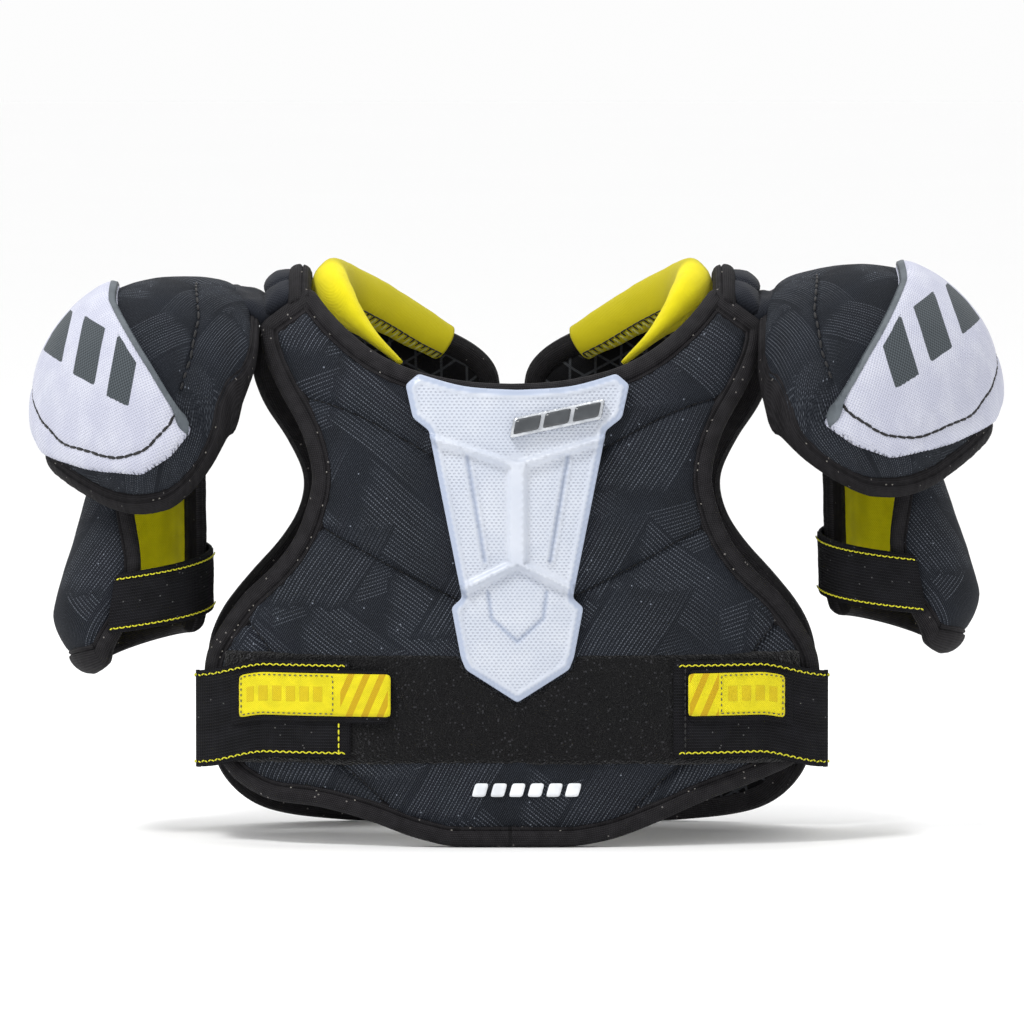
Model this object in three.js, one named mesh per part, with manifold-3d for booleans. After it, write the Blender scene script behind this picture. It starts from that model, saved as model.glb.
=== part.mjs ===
// Youth hockey shoulder pads, standing on their front and back hems.
// Millimetres. +Z is up, the wearer faces -Y, and the wearer's left is +X.
// The origin is the middle of the footprint, on the surface that the hems stand on.
// Every pad is a stack of sheets cut from one smooth surface: cover, foam, liner, and a binding
// round the edge.
// Outlines are written for the +X half and mirrored.
import * as THREE from "three";
import Module from "manifold-3d";

const wasm = await Module();
wasm.setup();

// ---------- driving dimensions ----------
const GAP = 0.3; // air left between pieces that touch
const DEG = Math.PI / 180;

const TORSO = { halfWidth: 138, halfDepth: 68, squareness: 2.3, ridge: 241, drop: 0.0048, neckHalf: 55 };
const SHEET_HALF = 136; // the torso surface is made this far out, then cut to the outlines
const LAYERS = { cover: [0, 1.5], foam: [1.8, 8.5], liner: [8.8, 10.3] };
const BINDING = { width: 6, depth: [-0.8, 11] };

const CHEST_HEM = [[0, 0], [26, 0]];
const CHEST_CORNER = [[26, 0], [42, 3], [60, 9.5], [80, 18], [107, 27.5], [120.5, 34], [126, 46]];
const CHEST_SIDE = [
  [126, 46], [128, 60], [127.8, 74], [123.5, 85], [112, 101.5], [99, 114], [90, 126],
  [84.5, 140], [82.5, 153], [87, 170], [97, 188], [103.5, 203], [104.8, 214],
];
const CHEST_NECK = [
  [83.5, 229.5], [78, 222], [70, 213.5], [59, 204.5], [47, 198], [34, 193.8], [17.5, 190.9], [0, 190],
];

const BACK_HEM = [[0, 0], [68, 0]];
const BACK_CORNER = [[68, 0], [95, 3.5], [112, 10], [124, 24], [127.5, 42]];
const BACK_SIDE = [
  [127.5, 42], [128.6, 60], [127.5, 78], [121.5, 92], [110, 106], [98, 119], [90, 132],
  [88, 146], [95, 162], [103, 177], [106.5, 192], [106, 204], [104.8, 214],
];
const BACK_NECK = [
  [83.5, 229.5], [66, 225], [50, 218], [36, 211.5], [26, 207], [17, 202], [10.5, 196.5],
  [6.5, 190], [5.5, 180], [5, 167], [0, 163],
];

const YOKE = { inner: 86, outer: 104, endInner: 231.8, endOuter: 217.4, thickness: 11 };
const CAP_TAB = { plan: [104.4, 105.3, -13, 13], z: [217.5, 219] };

const PLATE_TOP = [[0, 186.5], [22, 188], [42.5, 193.5]];
const PLATE_SIDE = [
  [45.5, 188.5], [42.5, 175.5], [36, 170.5], [22.5, 102.5], [26.8, 98.5], [23, 78], [21, 73], [0, 59.5],
];
const PLATE_SHIFT = 2.2; // the plate is sewn on a little to the wearer's left
const PLATE_DEPTH = [-7.5, -1.1];
const BADGE = { x: [-1, 36], z: [168.5, 176], lean: 1.5, rise: 7.5, depth: [-9.3, -7.8] };
const SPINE = { half: 21, top: 150, bottom: 46, taper: 8, depth: [-5.5, -GAP] };

const LOOP = { half: 119, z: [32, 79], depth: [-1.7, -GAP] };
const BELLY = {
  z: [34.5, 74], fold: 125.5, elasticEnd: 66, hookFrom: 110, hookEnd: 58.5, hookZ: [37.5, 71], slump: 5,
  elastic: [-5.2, -3.7], hook: [-3.4, -2], pull: [-7, -5.5],
};
// The elastic's run round the side of the body, in plan.
const SIDE_BAND = [[130.7, -33], [131.2, -14], [131.3, 27], [130, 27], [129.9, -14], [129.4, -33]];
const PULL_TAB = { outer: 109, z: [51, 73] };
const PULL_END = { right: 49, left: 71 }; // how near the middle each pull tab reaches

const CAP = {
  centre: [142, 0, 176], out: 54, inward: 38, depth: 56, up: 55, down: 60,
  layers: { cover: [0, 1.5], insert: [1.8, 3.8], liner: [4.1, 9] }, binding: { width: 6, depth: [-0.8, 9.8] },
};
// Height of the cap's edge every 20 degrees, from the outer side round to the neck side.
const CAP_RIM = [152, 149, 143, 137, 136, 142, 158, 186, 208, 216];
const OVERLAY = [
  [166, 240], [161, 224], [133.5, 172.5], [140.5, 161], [152, 153], [173, 153.5], [191, 158],
  [215, 172], [215, 240],
];
const OVERLAY_DEPTH = [-3.8, -GAP];

const GUARD = {
  top: 162, bottom: 73, innerRise: 16, rearAngle: -165,
  layers: { cover: [0, 1.5], insert: [1.8, 5], liner: [5.3, 8] }, binding: { width: 5.5, depth: [-0.7, 8.8] },
};
// Angle of the guard's front edge from the outer side, at evenly spaced heights from bottom to top.
const GUARD_FRONT = [58, 74, 83, 82, 74, 63, 52, 42];
const ARM_STRAP = {
  width: 25, from: 76, to: 181, hookFrom: 184, hookTo: 234, midFront: 97.5, midInner: 106.5,
  depth: [-3.2, -1.6],
};
const HANGER = { top: [159.4, 207], bottom: [158.4, 171.3], middle: 7, half: 8, thickness: 1.6 };

// The left arm rests a little raised and its guard hangs a little inwards.
const REST = { right: { lift: 0, flare: 0, inward: 0 }, left: { lift: 8, flare: -6, inward: 3 } };
const LIFT_HINGE = [104, 0, 228];
const FLARE_HINGE = [159.4, 0, 205];

const COLOURS = {
  navy: [0x20242b, 0.8], black: [0x17161a, 0.85], white: [0xeceef2, 0.6], yellow: [0xe6e01e, 0.75],
  foam: [0xb9bcc0, 0.9], grey: [0x4a4f55, 0.7], insert: [0xd8dadf, 0.5], badge: [0x30353b, 0.35],
};

// ---------- solids ----------
function solidFrom(triangles) {
  const index = new Map();
  const positions = [];
  const faces = [];
  const vertex = (p) => {
    const key = `${Math.round(p.x * 1e4)},${Math.round(p.y * 1e4)},${Math.round(p.z * 1e4)}`;
    if (!index.has(key)) {
      index.set(key, positions.length / 3);
      positions.push(p.x, p.y, p.z);
    }
    return index.get(key);
  };
  for (const [p, q, r] of triangles) {
    const [a, b, c] = [vertex(p), vertex(q), vertex(r)];
    if (a !== b && b !== c && c !== a) faces.push(a, b, c);
  }
  const vertProperties = Float32Array.from(positions);
  const make = (indices) => {
    const triVerts = Uint32Array.from(indices);
    return new wasm.Manifold(new wasm.Mesh({ numProp: 3, vertProperties, triVerts }));
  };
  const made = make(faces);
  return made.volume() > 0 ? made : make(faces.reverse());
}

// A closed solid between two grids of points; wrap joins the last column to the first.
function between(outer, inner, wrap = false) {
  const rows = outer.length;
  const columns = outer[0].length;
  const triangles = [];
  const quad = (a, b, c, d) => triangles.push([a, b, c], [a, c, d]);
  const across = wrap ? columns : columns - 1;
  for (let i = 0; i < rows - 1; i++) {
    for (let j = 0; j < across; j++) {
      const k = (j + 1) % columns;
      quad(outer[i][j], outer[i][k], outer[i + 1][k], outer[i + 1][j]);
      quad(inner[i][j], inner[i + 1][j], inner[i + 1][k], inner[i][k]);
    }
  }
  for (let j = 0; j < across; j++) {
    const k = (j + 1) % columns;
    quad(outer[0][j], inner[0][j], inner[0][k], outer[0][k]);
    quad(outer[rows - 1][k], inner[rows - 1][k], inner[rows - 1][j], outer[rows - 1][j]);
  }
  for (let i = 0; !wrap && i < rows - 1; i++) {
    quad(outer[i + 1][0], inner[i + 1][0], inner[i][0], outer[i][0]);
    quad(outer[i][across], inner[i][across], inner[i + 1][across], outer[i + 1][across]);
  }
  return solidFrom(triangles);
}

function solidOf(geometry) {
  const flat = geometry.index ? geometry.toNonIndexed() : geometry;
  const p = flat.getAttribute("position");
  const corner = (i) => new THREE.Vector3().fromBufferAttribute(p, i);
  const triangle = (_, i) => [corner(3 * i), corner(3 * i + 1), corner(3 * i + 2)];
  return solidFrom(Array.from({ length: p.count / 3 }, triangle));
}

function geometryOf(solid) {
  const mesh = solid.getMesh();
  const positions = new Float32Array(mesh.numVert * 3);
  for (let i = 0; i < mesh.numVert; i++) {
    positions.set(mesh.vertProperties.subarray(i * mesh.numProp, i * mesh.numProp + 3), i * 3);
  }
  const made = new THREE.BufferGeometry().setAttribute("position", new THREE.BufferAttribute(positions, 3));
  return made.setIndex(new THREE.BufferAttribute(mesh.triVerts, 1));
}

// ---------- outlines in the XZ plane ----------
const points = (list) => list.map(([x, z]) => new THREE.Vector2(x, z));
const smooth = (list, steps) => new THREE.SplineCurve(points(list)).getPoints(steps);

function mirrored(half) {
  const other = half.filter((p) => p.x > 0.01).map((p) => new THREE.Vector2(-p.x, p.y)).reverse();
  return [...half, ...other];
}

function distanceTo(outline, p) {
  const gaps = outline.map((a, i) => {
    const span = outline[(i + 1) % outline.length].clone().sub(a);
    const share = p.clone().sub(a).dot(span) / span.lengthSq();
    return a.clone().addScaledVector(span, Math.min(1, Math.max(0, share))).distanceTo(p);
  });
  return Math.min(...gaps);
}

// Moves a closed outline sideways by d, outwards for d above 0; it runs anticlockwise.
function offset(outline, d) {
  const moved = outline.map((p, i) => {
    const before = outline[(i + outline.length - 1) % outline.length];
    const after = outline[(i + 1) % outline.length];
    const along = [p.clone().sub(before).normalize(), after.clone().sub(p).normalize()];
    const normals = along.map((a) => new THREE.Vector2(a.y, -a.x));
    const miter = normals[0].clone().add(normals[1]).normalize();
    return p.clone().addScaledVector(miter, d / Math.max(0.5, miter.dot(normals[0])));
  });
  return moved.filter((p) => distanceTo(outline, p) > Math.abs(d) - 0.05);
}

const extruded = (outline, depth) =>
  new THREE.ExtrudeGeometry(new THREE.Shape(outline), { depth, bevelEnabled: false });

// The outline as a prism along Y.
const prism = (outline, yLow, yHigh) =>
  solidOf(extruded(outline, yHigh - yLow).rotateX(Math.PI / 2).translate(0, yHigh, 0));

// A plan outline, in X and Y, as a prism along Z.
const upright = (outline, zLow, zHigh) =>
  solidOf(extruded(outline, zHigh - zLow).translate(0, 0, zLow));

const rectangle = (x0, x1, z0, z1) => points([[x0, z0], [x1, z0], [x1, z1], [x0, z1]]);

// ---------- the torso surface ----------
const bodyDepth = (x) => {
  const share = (Math.abs(x) / TORSO.halfWidth) ** TORSO.squareness;
  return TORSO.halfDepth * (1 - share) ** (1 / TORSO.squareness);
};
const ridgeHeight = (x) => TORSO.ridge - TORSO.drop * Math.max(0, Math.abs(x) - TORSO.neckHalf) ** 2;

// turn runs from 0 at the front foot to PI at the back foot, over the shoulder.
function torsoAt(x, turn) {
  const s = Math.sin(turn);
  const height = ridgeHeight(x) * Math.sign(s) * Math.abs(s) ** (1 / 3);
  return new THREE.Vector3(x, -bodyDepth(x) * Math.cos(turn), height);
}

function torso(x, turn, depth) {
  const step = 1e-3;
  const along = torsoAt(x, turn + step).sub(torsoAt(x, turn - step));
  const across = torsoAt(x + step, turn).sub(torsoAt(x - step, turn));
  return torsoAt(x, turn).addScaledVector(along.cross(across).normalize(), depth);
}

const turnAt = (share, side) => (side < 0 ? Math.asin(share ** 3) : Math.PI - Math.asin(share ** 3));
const SPREAD = 75 * DEG; // the sheet's columns crowd together towards its sides
const COLUMNS = Array.from(
  { length: 13 },
  (_, j) => (SHEET_HALF * Math.sin(((j - 6) / 6) * SPREAD)) / Math.sin(SPREAD),
);
const ROWS = [-0.05, 0.2, 0.45, 0.64, 0.77, 0.86, 0.925, 0.975];

// side is -1 for the front of the body and 1 for the back.
function torsoSheet(side, [near, far]) {
  const grid = (depth) => ROWS.map((share) => COLUMNS.map((x) => torso(x, turnAt(share, side), depth)));
  return between(grid(near), grid(far));
}

const frontOf = (side) => (side < 0 ? [-110, -2] : [2, 110]);
const cutSheet = (side, depths, outline) =>
  torsoSheet(side, depths).intersect(prism(outline, ...frontOf(side)));

function halfOutline(hem, corner, sideLine, neck) {
  const lower = [...points(hem), ...smooth(corner, 5).slice(1)];
  return mirrored([...lower, ...smooth(sideLine, 14).slice(1), ...smooth(neck, 10)]);
}
const CHEST = halfOutline(CHEST_HEM, CHEST_CORNER, CHEST_SIDE, CHEST_NECK);
const BACK = halfOutline(BACK_HEM, BACK_CORNER, BACK_SIDE, BACK_NECK);
const PLATE = mirrored([...points(PLATE_SIDE).reverse(), ...smooth(PLATE_TOP, 5).reverse()])
  .map((p) => p.setX(p.x + PLATE_SHIFT));

function boundPanel(side, outline) {
  const inside = offset(outline, -BINDING.width - GAP);
  const sheets = Object.entries(LAYERS).map(([name, depths]) => [name, cutSheet(side, depths, inside)]);
  const made = Object.fromEntries(sheets);
  const hole = prism(offset(outline, -BINDING.width), ...frontOf(side));
  made.binding = cutSheet(side, BINDING.depth, outline).subtract(hole);
  return made;
}

// How much lower the belly straps hang towards the sides of the body.
const slump = (x) => BELLY.slump * THREE.MathUtils.smoothstep(Math.abs(x), 98, 128);

// A strip round the torso's belly from x0 to x1 (x1 < x0), between two depths.
function bellyStrip(x0, x1, [near, far], zs) {
  const xs = Array.from({ length: 10 }, (_, i) => x0 + ((x1 - x0) * i) / 9);
  const at = (x, z, depth) => torso(x, 1e-9, depth).setZ(z - slump(x));
  const grid = (depth) => xs.map((x) => zs.map((z) => at(x, z, depth)));
  return between(grid(near), grid(far));
}

// ---------- yokes and collar ----------
function yoke() {
  const columns = [0, 1, 2, 3].map((j) => YOKE.inner + ((YOKE.outer - YOKE.inner) * j) / 3);
  const turns = Array.from({ length: 13 }, (_, i) => (30 + 10 * i) * DEG);
  const grid = (depth) => turns.map((turn) => columns.map((x) => torso(x, turn, depth)));
  const keep = points([
    [YOKE.inner - 20, YOKE.endInner + 16], [YOKE.inner, YOKE.endInner], [YOKE.outer, YOKE.endOuter],
    [YOKE.outer + 20, YOKE.endOuter], [YOKE.outer + 20, 260], [YOKE.inner - 20, 260],
  ]);
  return between(grid(0), grid(YOKE.thickness)).intersect(prism(keep, -100, 100));
}

// The collar roll runs over the shoulder just inside the neck edge: centre, half thickness, half height.
const COLLAR = [
  [[46, -37, 197.5], 3.5, 5], [[59, -31, 209], 5, 8], [[71, -17, 221], 6.5, 10], [[74.5, 1, 227.5], 7, 10.5],
  [[69.5, 18, 226], 6.5, 10.5], [[56, 29, 218.5], 6, 10], [[41, 36, 209.5], 5.5, 9], [[28, 39, 202], 5, 7.5],
];

function collar() {
  const path = new THREE.CatmullRomCurve3(COLLAR.map(([p]) => new THREE.Vector3(...p)));
  const sizes = new THREE.CatmullRomCurve3(COLLAR.map(([, a, b]) => new THREE.Vector3(a, b, 0)));
  const rings = 14;
  const ring = (u, scale) => {
    const p = path.getPoint(u);
    const inwards = new THREE.Vector3(-p.x, -p.y, 0).normalize();
    const up = inwards.clone().cross(path.getTangent(u)).normalize();
    const size = sizes.getPoint(u).multiplyScalar(scale);
    return Array.from({ length: 12 }, (_, k) => {
      const a = (k * Math.PI) / 6;
      const out = p.clone().addScaledVector(inwards, size.x * Math.cos(a));
      return out.addScaledVector(up, size.y * Math.sin(a));
    });
  };
  const outer = Array.from({ length: rings + 1 }, (_, i) => ring(i / rings, 1));
  const core = Array.from({ length: rings + 1 }, (_, i) => ring(i / rings, 0));
  return between(outer, core, true);
}

// ---------- shoulder caps ----------
const rimCurve = new THREE.SplineCurve(CAP_RIM.map((z, i) => new THREE.Vector2(i, z)));

// Angles: around is 0 outwards and 90 degrees to the front; down is 0 at the crown.
function capAt(around, down) {
  const outwards = Math.cos(around);
  const power = 2 / (2 + 2 * ((1 - outwards) / 2) ** 1.5);
  const spread = Math.sin(down) ** power;
  const c = Math.cos(down);
  const [cx, cy, cz] = CAP.centre;
  return new THREE.Vector3(
    cx + (outwards > 0 ? CAP.out : CAP.inward) * outwards * spread,
    cy - CAP.depth * Math.sin(around) * spread,
    cz + (c > 0 ? CAP.up : CAP.down) * Math.sign(c) * Math.abs(c) ** power,
  );
}

function cap(around, down, depth) {
  const step = 1e-3;
  const d = Math.max(down, 0.02);
  const along = capAt(around, d + step).sub(capAt(around, d - step));
  const across = capAt(around + step, d).sub(capAt(around - step, d));
  const normal = down < 0.02 ? new THREE.Vector3(0, 0, 1) : across.cross(along).normalize();
  return capAt(around, down).addScaledVector(normal, -depth);
}

// How far down the cap's edge is in one direction, short of it by some millimetres.
function rimDown(around, short) {
  const turn = Math.abs(Math.atan2(Math.sin(around), Math.cos(around))) / Math.PI;
  const z = rimCurve.getPoint(turn).y + short;
  const power = 2 / (2 + 2 * ((1 - Math.cos(around)) / 2) ** 1.5);
  const rise = z - CAP.centre[2];
  const share = rise / (rise > 0 ? CAP.up : CAP.down);
  return Math.acos(Math.sign(share) * Math.min(1, Math.abs(share)) ** (1 / power));
}

const SPOKES = Array.from({ length: 20 }, (_, j) => (j * 18 + 9) * DEG);

function capSheet([near, far]) {
  const rings = [0, 0.22, 0.44, 0.64, 0.83, 1];
  const edge = CAP.binding.width + GAP;
  const grid = (depth) => rings.map((r) => SPOKES.map((a) => cap(a, r * rimDown(a, edge), depth)));
  return between(grid(near), grid(far), true);
}

// The binding, or with room above 0 the space to keep clear for it.
function capBand(room) {
  const row = (short, depth) => SPOKES.map((a) => cap(a, rimDown(a, short), depth));
  const grid = (depth) => [row(CAP.binding.width + room, depth), row(-room, depth)];
  return between(grid(CAP.binding.depth[0] - room), grid(CAP.binding.depth[1] + room), true);
}

function capParts() {
  const clear = capBand(GAP);
  const made = Object.fromEntries(
    Object.entries(CAP.layers).map(([name, depths]) => [name, capSheet(depths).subtract(clear)]),
  );
  made.binding = capBand(0);
  made.overlay = capSheet(OVERLAY_DEPTH).intersect(prism(points(OVERLAY).reverse(), -90, 90));
  return made;
}

// ---------- upper-arm guards ----------
const frontCurve = new THREE.SplineCurve(GUARD_FRONT.map((a, i) => new THREE.Vector2(i, a)));
// The guard is widest at this height: it narrows slowly above it and rounds off below it.
const WIDEST = 93;
const guardCentre = (z) => 157.6 - 0.12 * (z - WIDEST);
const guardHalfWidth = (z) => 30 - (z > WIDEST ? 0.13 * (z - WIDEST) : 0.016 * (WIDEST - z) ** 2);
const guardHalfDepth = (z) => 34 - (z > WIDEST ? 0.08 * (z - WIDEST) : 0.01 * (WIDEST - z) ** 2);

function guardAt(angle, z, depth) {
  const a = angle * DEG;
  return new THREE.Vector3(
    guardCentre(z) + (guardHalfWidth(z) - depth) * Math.cos(a),
    -(guardHalfDepth(z) - depth) * Math.sin(a),
    z,
  );
}

// A point of the guard by its shares along (rear to front) and up (bottom to top), widened by spare
// millimetres.
function guardPoint(along, up, spare, depth) {
  const front = frontCurve.getPoint(up).y + spare / (32 * DEG);
  const rear = GUARD.rearAngle - spare / (32 * DEG);
  const angle = rear + (front - rear) * along;
  const low = GUARD.bottom + (GUARD.innerRise * (1 - Math.cos(angle * DEG))) / 2 - spare;
  return guardAt(angle, low + up * (GUARD.top + spare - low), depth);
}

const shares = (steps) => Array.from({ length: steps + 1 }, (_, i) => i / steps);

function guardParts() {
  const [along, up] = [shares(11), shares(7)];
  const sheet = (depth) => up.map((u) => along.map((a) => guardPoint(a, u, 0, depth)));
  const edge = [
    ...along.map((a) => [a, 0]), ...up.slice(1).map((u) => [1, u]),
    ...along.slice(0, -1).reverse().map((a) => [a, 1]), ...up.slice(1, -1).reverse().map((u) => [0, u]),
  ];
  const row = (spare, depth) => edge.map(([a, u]) => guardPoint(a, u, spare, depth));
  const band = (room) => {
    const grid = (depth) => [row(2 * GAP - room, depth), row(GUARD.binding.width + room, depth)];
    return between(grid(GUARD.binding.depth[0] - room), grid(GUARD.binding.depth[1] + room), true);
  };
  const made = Object.fromEntries(
    Object.entries(GUARD.layers).map(([name, [near, far]]) => [
      name, between(sheet(near), sheet(far)).subtract(band(GAP)),
    ]),
  );
  made.binding = band(0);
  return made;
}

function armBand(from, to) {
  const middle = (a) => ARM_STRAP.midFront
    + ((ARM_STRAP.midInner - ARM_STRAP.midFront) * (a - ARM_STRAP.from)) / (ARM_STRAP.to - ARM_STRAP.from);
  const steps = Math.ceil((to - from) / 12);
  const grid = (depth) => [-0.5, 0.5].map((side) => Array.from({ length: steps + 1 }, (_, i) => {
    const a = from + ((to - from) * i) / steps;
    return guardAt(a, middle(a) + side * ARM_STRAP.width, depth);
  }));
  return between(grid(ARM_STRAP.depth[0]), grid(ARM_STRAP.depth[1]));
}

function hanger() {
  const [top, bottom] = [new THREE.Vector2(...HANGER.top), new THREE.Vector2(...HANGER.bottom)];
  const side = top.clone().sub(bottom).rotateAround(new THREE.Vector2(), Math.PI / 2);
  side.setLength(HANGER.thickness / 2);
  const inner = [bottom.clone().sub(side), top.clone().sub(side)];
  const corners = [...inner, top.clone().add(side), bottom.clone().add(side)];
  return prism(corners, HANGER.middle - HANGER.half, HANGER.middle + HANGER.half);
}

// ---------- assembly ----------
const shoulderPads = new THREE.Group();

function add(parent, name, solid, colour) {
  const [color, roughness] = COLOURS[colour];
  const material = new THREE.MeshStandardMaterial({ color, roughness, metalness: 0 });
  const mesh = new THREE.Mesh(geometryOf(solid), material);
  mesh.name = name;
  parent.add(mesh);
}

// A group that turns about a Y axis through hinge, so that the outer side rises.
function hinged(parent, [x, , z], degrees) {
  const pivot = new THREE.Group();
  pivot.position.set(x, 0, z);
  pivot.rotation.y = -degrees * DEG;
  const back = new THREE.Group();
  back.position.set(-x, 0, -z);
  parent.add(pivot);
  pivot.add(back);
  return back;
}

const chest = boundPanel(-1, CHEST);
const back = boundPanel(1, BACK);
const plate = cutSheet(-1, PLATE_DEPTH, PLATE);
const loopCut = prism(offset(PLATE, 0.4), -110, -2);
const loopArea = rectangle(-LOOP.half, LOOP.half, ...LOOP.z);
const insideBinding = prism(offset(CHEST, -BINDING.width - GAP), ...frontOf(-1));
const badgeOutline = points([
  [BADGE.x[0], BADGE.z[0]], [BADGE.x[1], BADGE.z[0] + BADGE.rise],
  [BADGE.x[1] + BADGE.lean, BADGE.z[1] + BADGE.rise], [BADGE.x[0] + BADGE.lean, BADGE.z[1]],
]);
const spineOutline = mirrored(points([
  [SPINE.half - SPINE.taper, SPINE.bottom], [SPINE.half, SPINE.bottom + SPINE.taper],
  [SPINE.half, SPINE.top - SPINE.taper], [SPINE.half - SPINE.taper, SPINE.top],
]));

add(shoulderPads, "chest_cover", chest.cover, "navy");
add(shoulderPads, "chest_foam", chest.foam, "foam");
add(shoulderPads, "chest_liner", chest.liner, "grey");
add(shoulderPads, "chest_binding", chest.binding, "black");
add(shoulderPads, "sternum_plate", plate, "white");
add(shoulderPads, "plate_badge", cutSheet(-1, BADGE.depth, badgeOutline), "badge");
const loopPanel = cutSheet(-1, LOOP.depth, loopArea).intersect(insideBinding).subtract(loopCut);
add(shoulderPads, "loop_panel", loopPanel, "black");
add(shoulderPads, "back_cover", back.cover, "navy");
add(shoulderPads, "back_foam", back.foam, "foam");
add(shoulderPads, "back_liner", back.liner, "grey");
add(shoulderPads, "back_binding", back.binding, "black");
add(shoulderPads, "spine_plate", cutSheet(1, SPINE.depth, spineOutline), "white");

const keepOut = torsoSheet(-1, [-2, 11.4]).intersect(prism(offset(CHEST, 0.4), -110, -2))
  .add(torsoSheet(1, [-2, 13.5]).intersect(prism(offset(BACK, 2), 2, 110)))
  .add(back.binding.translate([0, -0.6, 0]))
  .add(back.binding.translate([0, -0.6, -0.8]))
  .add(back.binding.translate([0, 0.3, 0.6]))
  .add(back.binding)
  .add(upright(rectangle(YOKE.inner - 0.4, 120, -60, 60), 150, 260));
const capPieces = capParts();
const guardPieces = guardParts();

for (const side of ["left", "right"]) {
  const half = new THREE.Group();
  half.scale.x = side === "left" ? 1 : -1;
  shoulderPads.add(half);
  add(half, `shoulder_yoke_${side}`, yoke(), "navy");
  add(half, `collar_pad_${side}`, collar().subtract(keepOut), "yellow");

  const web = bellyStrip(BELLY.fold, BELLY.elasticEnd, BELLY.elastic, BELLY.z);
  const hookTape = bellyStrip(BELLY.hookFrom, BELLY.hookEnd, BELLY.hook, BELLY.hookZ);
  add(half, `belly_elastic_${side}`, web, "black");
  add(half, `belly_hook_${side}`, hookTape, "grey");
  add(half, `pull_tab_${side}`, bellyStrip(PULL_TAB.outer, PULL_END[side], BELLY.pull, PULL_TAB.z), "yellow");
  const sideHeights = BELLY.z.map((z) => z - BELLY.slump);
  add(half, `side_elastic_${side}`, upright(points(SIDE_BAND), ...sideHeights), "black");

  add(half, `cap_tab_${side}`, upright(rectangle(...CAP_TAB.plan), ...CAP_TAB.z), "navy");

  const arm = hinged(half, LIFT_HINGE, REST[side].lift);
  arm.parent.position.x -= REST[side].inward;
  add(arm, `cap_cover_${side}`, capPieces.cover, "navy");
  add(arm, `cap_insert_${side}`, capPieces.insert, "insert");
  add(arm, `cap_liner_${side}`, capPieces.liner, "foam");
  add(arm, `cap_binding_${side}`, capPieces.binding, "black");
  add(arm, `cap_overlay_${side}`, capPieces.overlay, "white");

  const forearm = hinged(arm, FLARE_HINGE, REST[side].flare);
  add(forearm, `arm_hanger_${side}`, hanger(), "black");
  add(forearm, `guard_cover_${side}`, guardPieces.cover, "navy");
  add(forearm, `guard_insert_${side}`, guardPieces.insert, "insert");
  add(forearm, `guard_liner_${side}`, guardPieces.liner, "yellow");
  add(forearm, `guard_binding_${side}`, guardPieces.binding, "black");
  add(forearm, `arm_elastic_${side}`, armBand(ARM_STRAP.from, ARM_STRAP.to), "black");
  add(forearm, `arm_hook_${side}`, armBand(ARM_STRAP.hookFrom, ARM_STRAP.hookTo), "grey");
}

export default shoulderPads;
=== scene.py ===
# Youth hockey shoulder pads: the soft pieces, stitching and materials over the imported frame.
# Shapes are worked out in millimetres on the same smooth surfaces as the solids, then made in metres.
import bpy
import math
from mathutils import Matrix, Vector, kdtree, noise
from mathutils.geometry import delaunay_2d_cdt


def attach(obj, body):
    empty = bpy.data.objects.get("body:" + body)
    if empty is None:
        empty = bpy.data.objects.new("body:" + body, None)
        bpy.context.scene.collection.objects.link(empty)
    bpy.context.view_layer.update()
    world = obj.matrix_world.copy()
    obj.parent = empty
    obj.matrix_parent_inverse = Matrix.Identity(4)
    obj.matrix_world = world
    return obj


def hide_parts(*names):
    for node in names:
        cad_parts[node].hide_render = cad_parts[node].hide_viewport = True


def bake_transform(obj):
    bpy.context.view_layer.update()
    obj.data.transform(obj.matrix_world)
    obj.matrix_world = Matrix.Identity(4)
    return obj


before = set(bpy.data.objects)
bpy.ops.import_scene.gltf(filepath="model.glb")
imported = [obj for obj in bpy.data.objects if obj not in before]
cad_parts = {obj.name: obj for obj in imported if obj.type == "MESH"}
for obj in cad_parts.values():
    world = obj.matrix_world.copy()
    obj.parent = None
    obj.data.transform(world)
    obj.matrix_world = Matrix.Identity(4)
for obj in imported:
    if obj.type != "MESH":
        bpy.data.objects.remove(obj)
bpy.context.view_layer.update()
DEG = math.pi / 180
MM = 0.001
SIDES = (("left", 1), ("right", -1))

# ---------- shapes shared with the solids ----------
CHEST_HEM = [(0, 0), (26, 0)]
CHEST_CORNER = [(26, 0), (42, 3), (60, 9.5), (80, 18), (107, 27.5), (120.5, 34), (126, 46)]
CHEST_LOW_CORNER = [(26, 0), (42, 4), (60, 10.5), (80, 15.6), (98, 17.4), (108, 21), (117, 27), (122.5, 35),
                    (126, 46)]
CHEST_SIDE = [(126, 46), (128, 60), (127.8, 74), (123.5, 85), (112, 101.5), (99, 114), (90, 126),
              (84.5, 140), (82.5, 153), (87, 170), (97, 188), (103.5, 203), (104.8, 214)]
CHEST_NECK = [(83.5, 229.5), (78, 222), (70, 213.5), (59, 204.5), (47, 198), (34, 193.8), (17.5, 190.9),
              (0, 190)]
BACK_HEM = [(0, 0), (68, 0)]
BACK_CORNER = [(68, 0), (95, 3.5), (112, 10), (124, 24), (127.5, 42)]
BACK_SIDE = [(127.5, 42), (128.6, 60), (127.5, 78), (121.5, 92), (110, 106), (98, 119), (90, 132),
             (88, 146), (95, 162), (104.5, 177), (109.5, 192), (108, 204), (104.8, 214)]
BACK_NECK = [(83.5, 229.5), (66, 225), (50, 218), (36, 211.5), (26, 207), (17, 202), (10.5, 196.5),
             (6.5, 190), (5.5, 180), (5, 167), (0, 163)]
PLATE = [(45.5, 188.5), (42.5, 175.5), (36, 170.5), (22.5, 102.5), (26.8, 98.5), (23, 78), (21, 73),
         (0, 59.5)]
PLATE_TOP = [(0, 186.5), (22, 188), (42.5, 193.5)]
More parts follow.
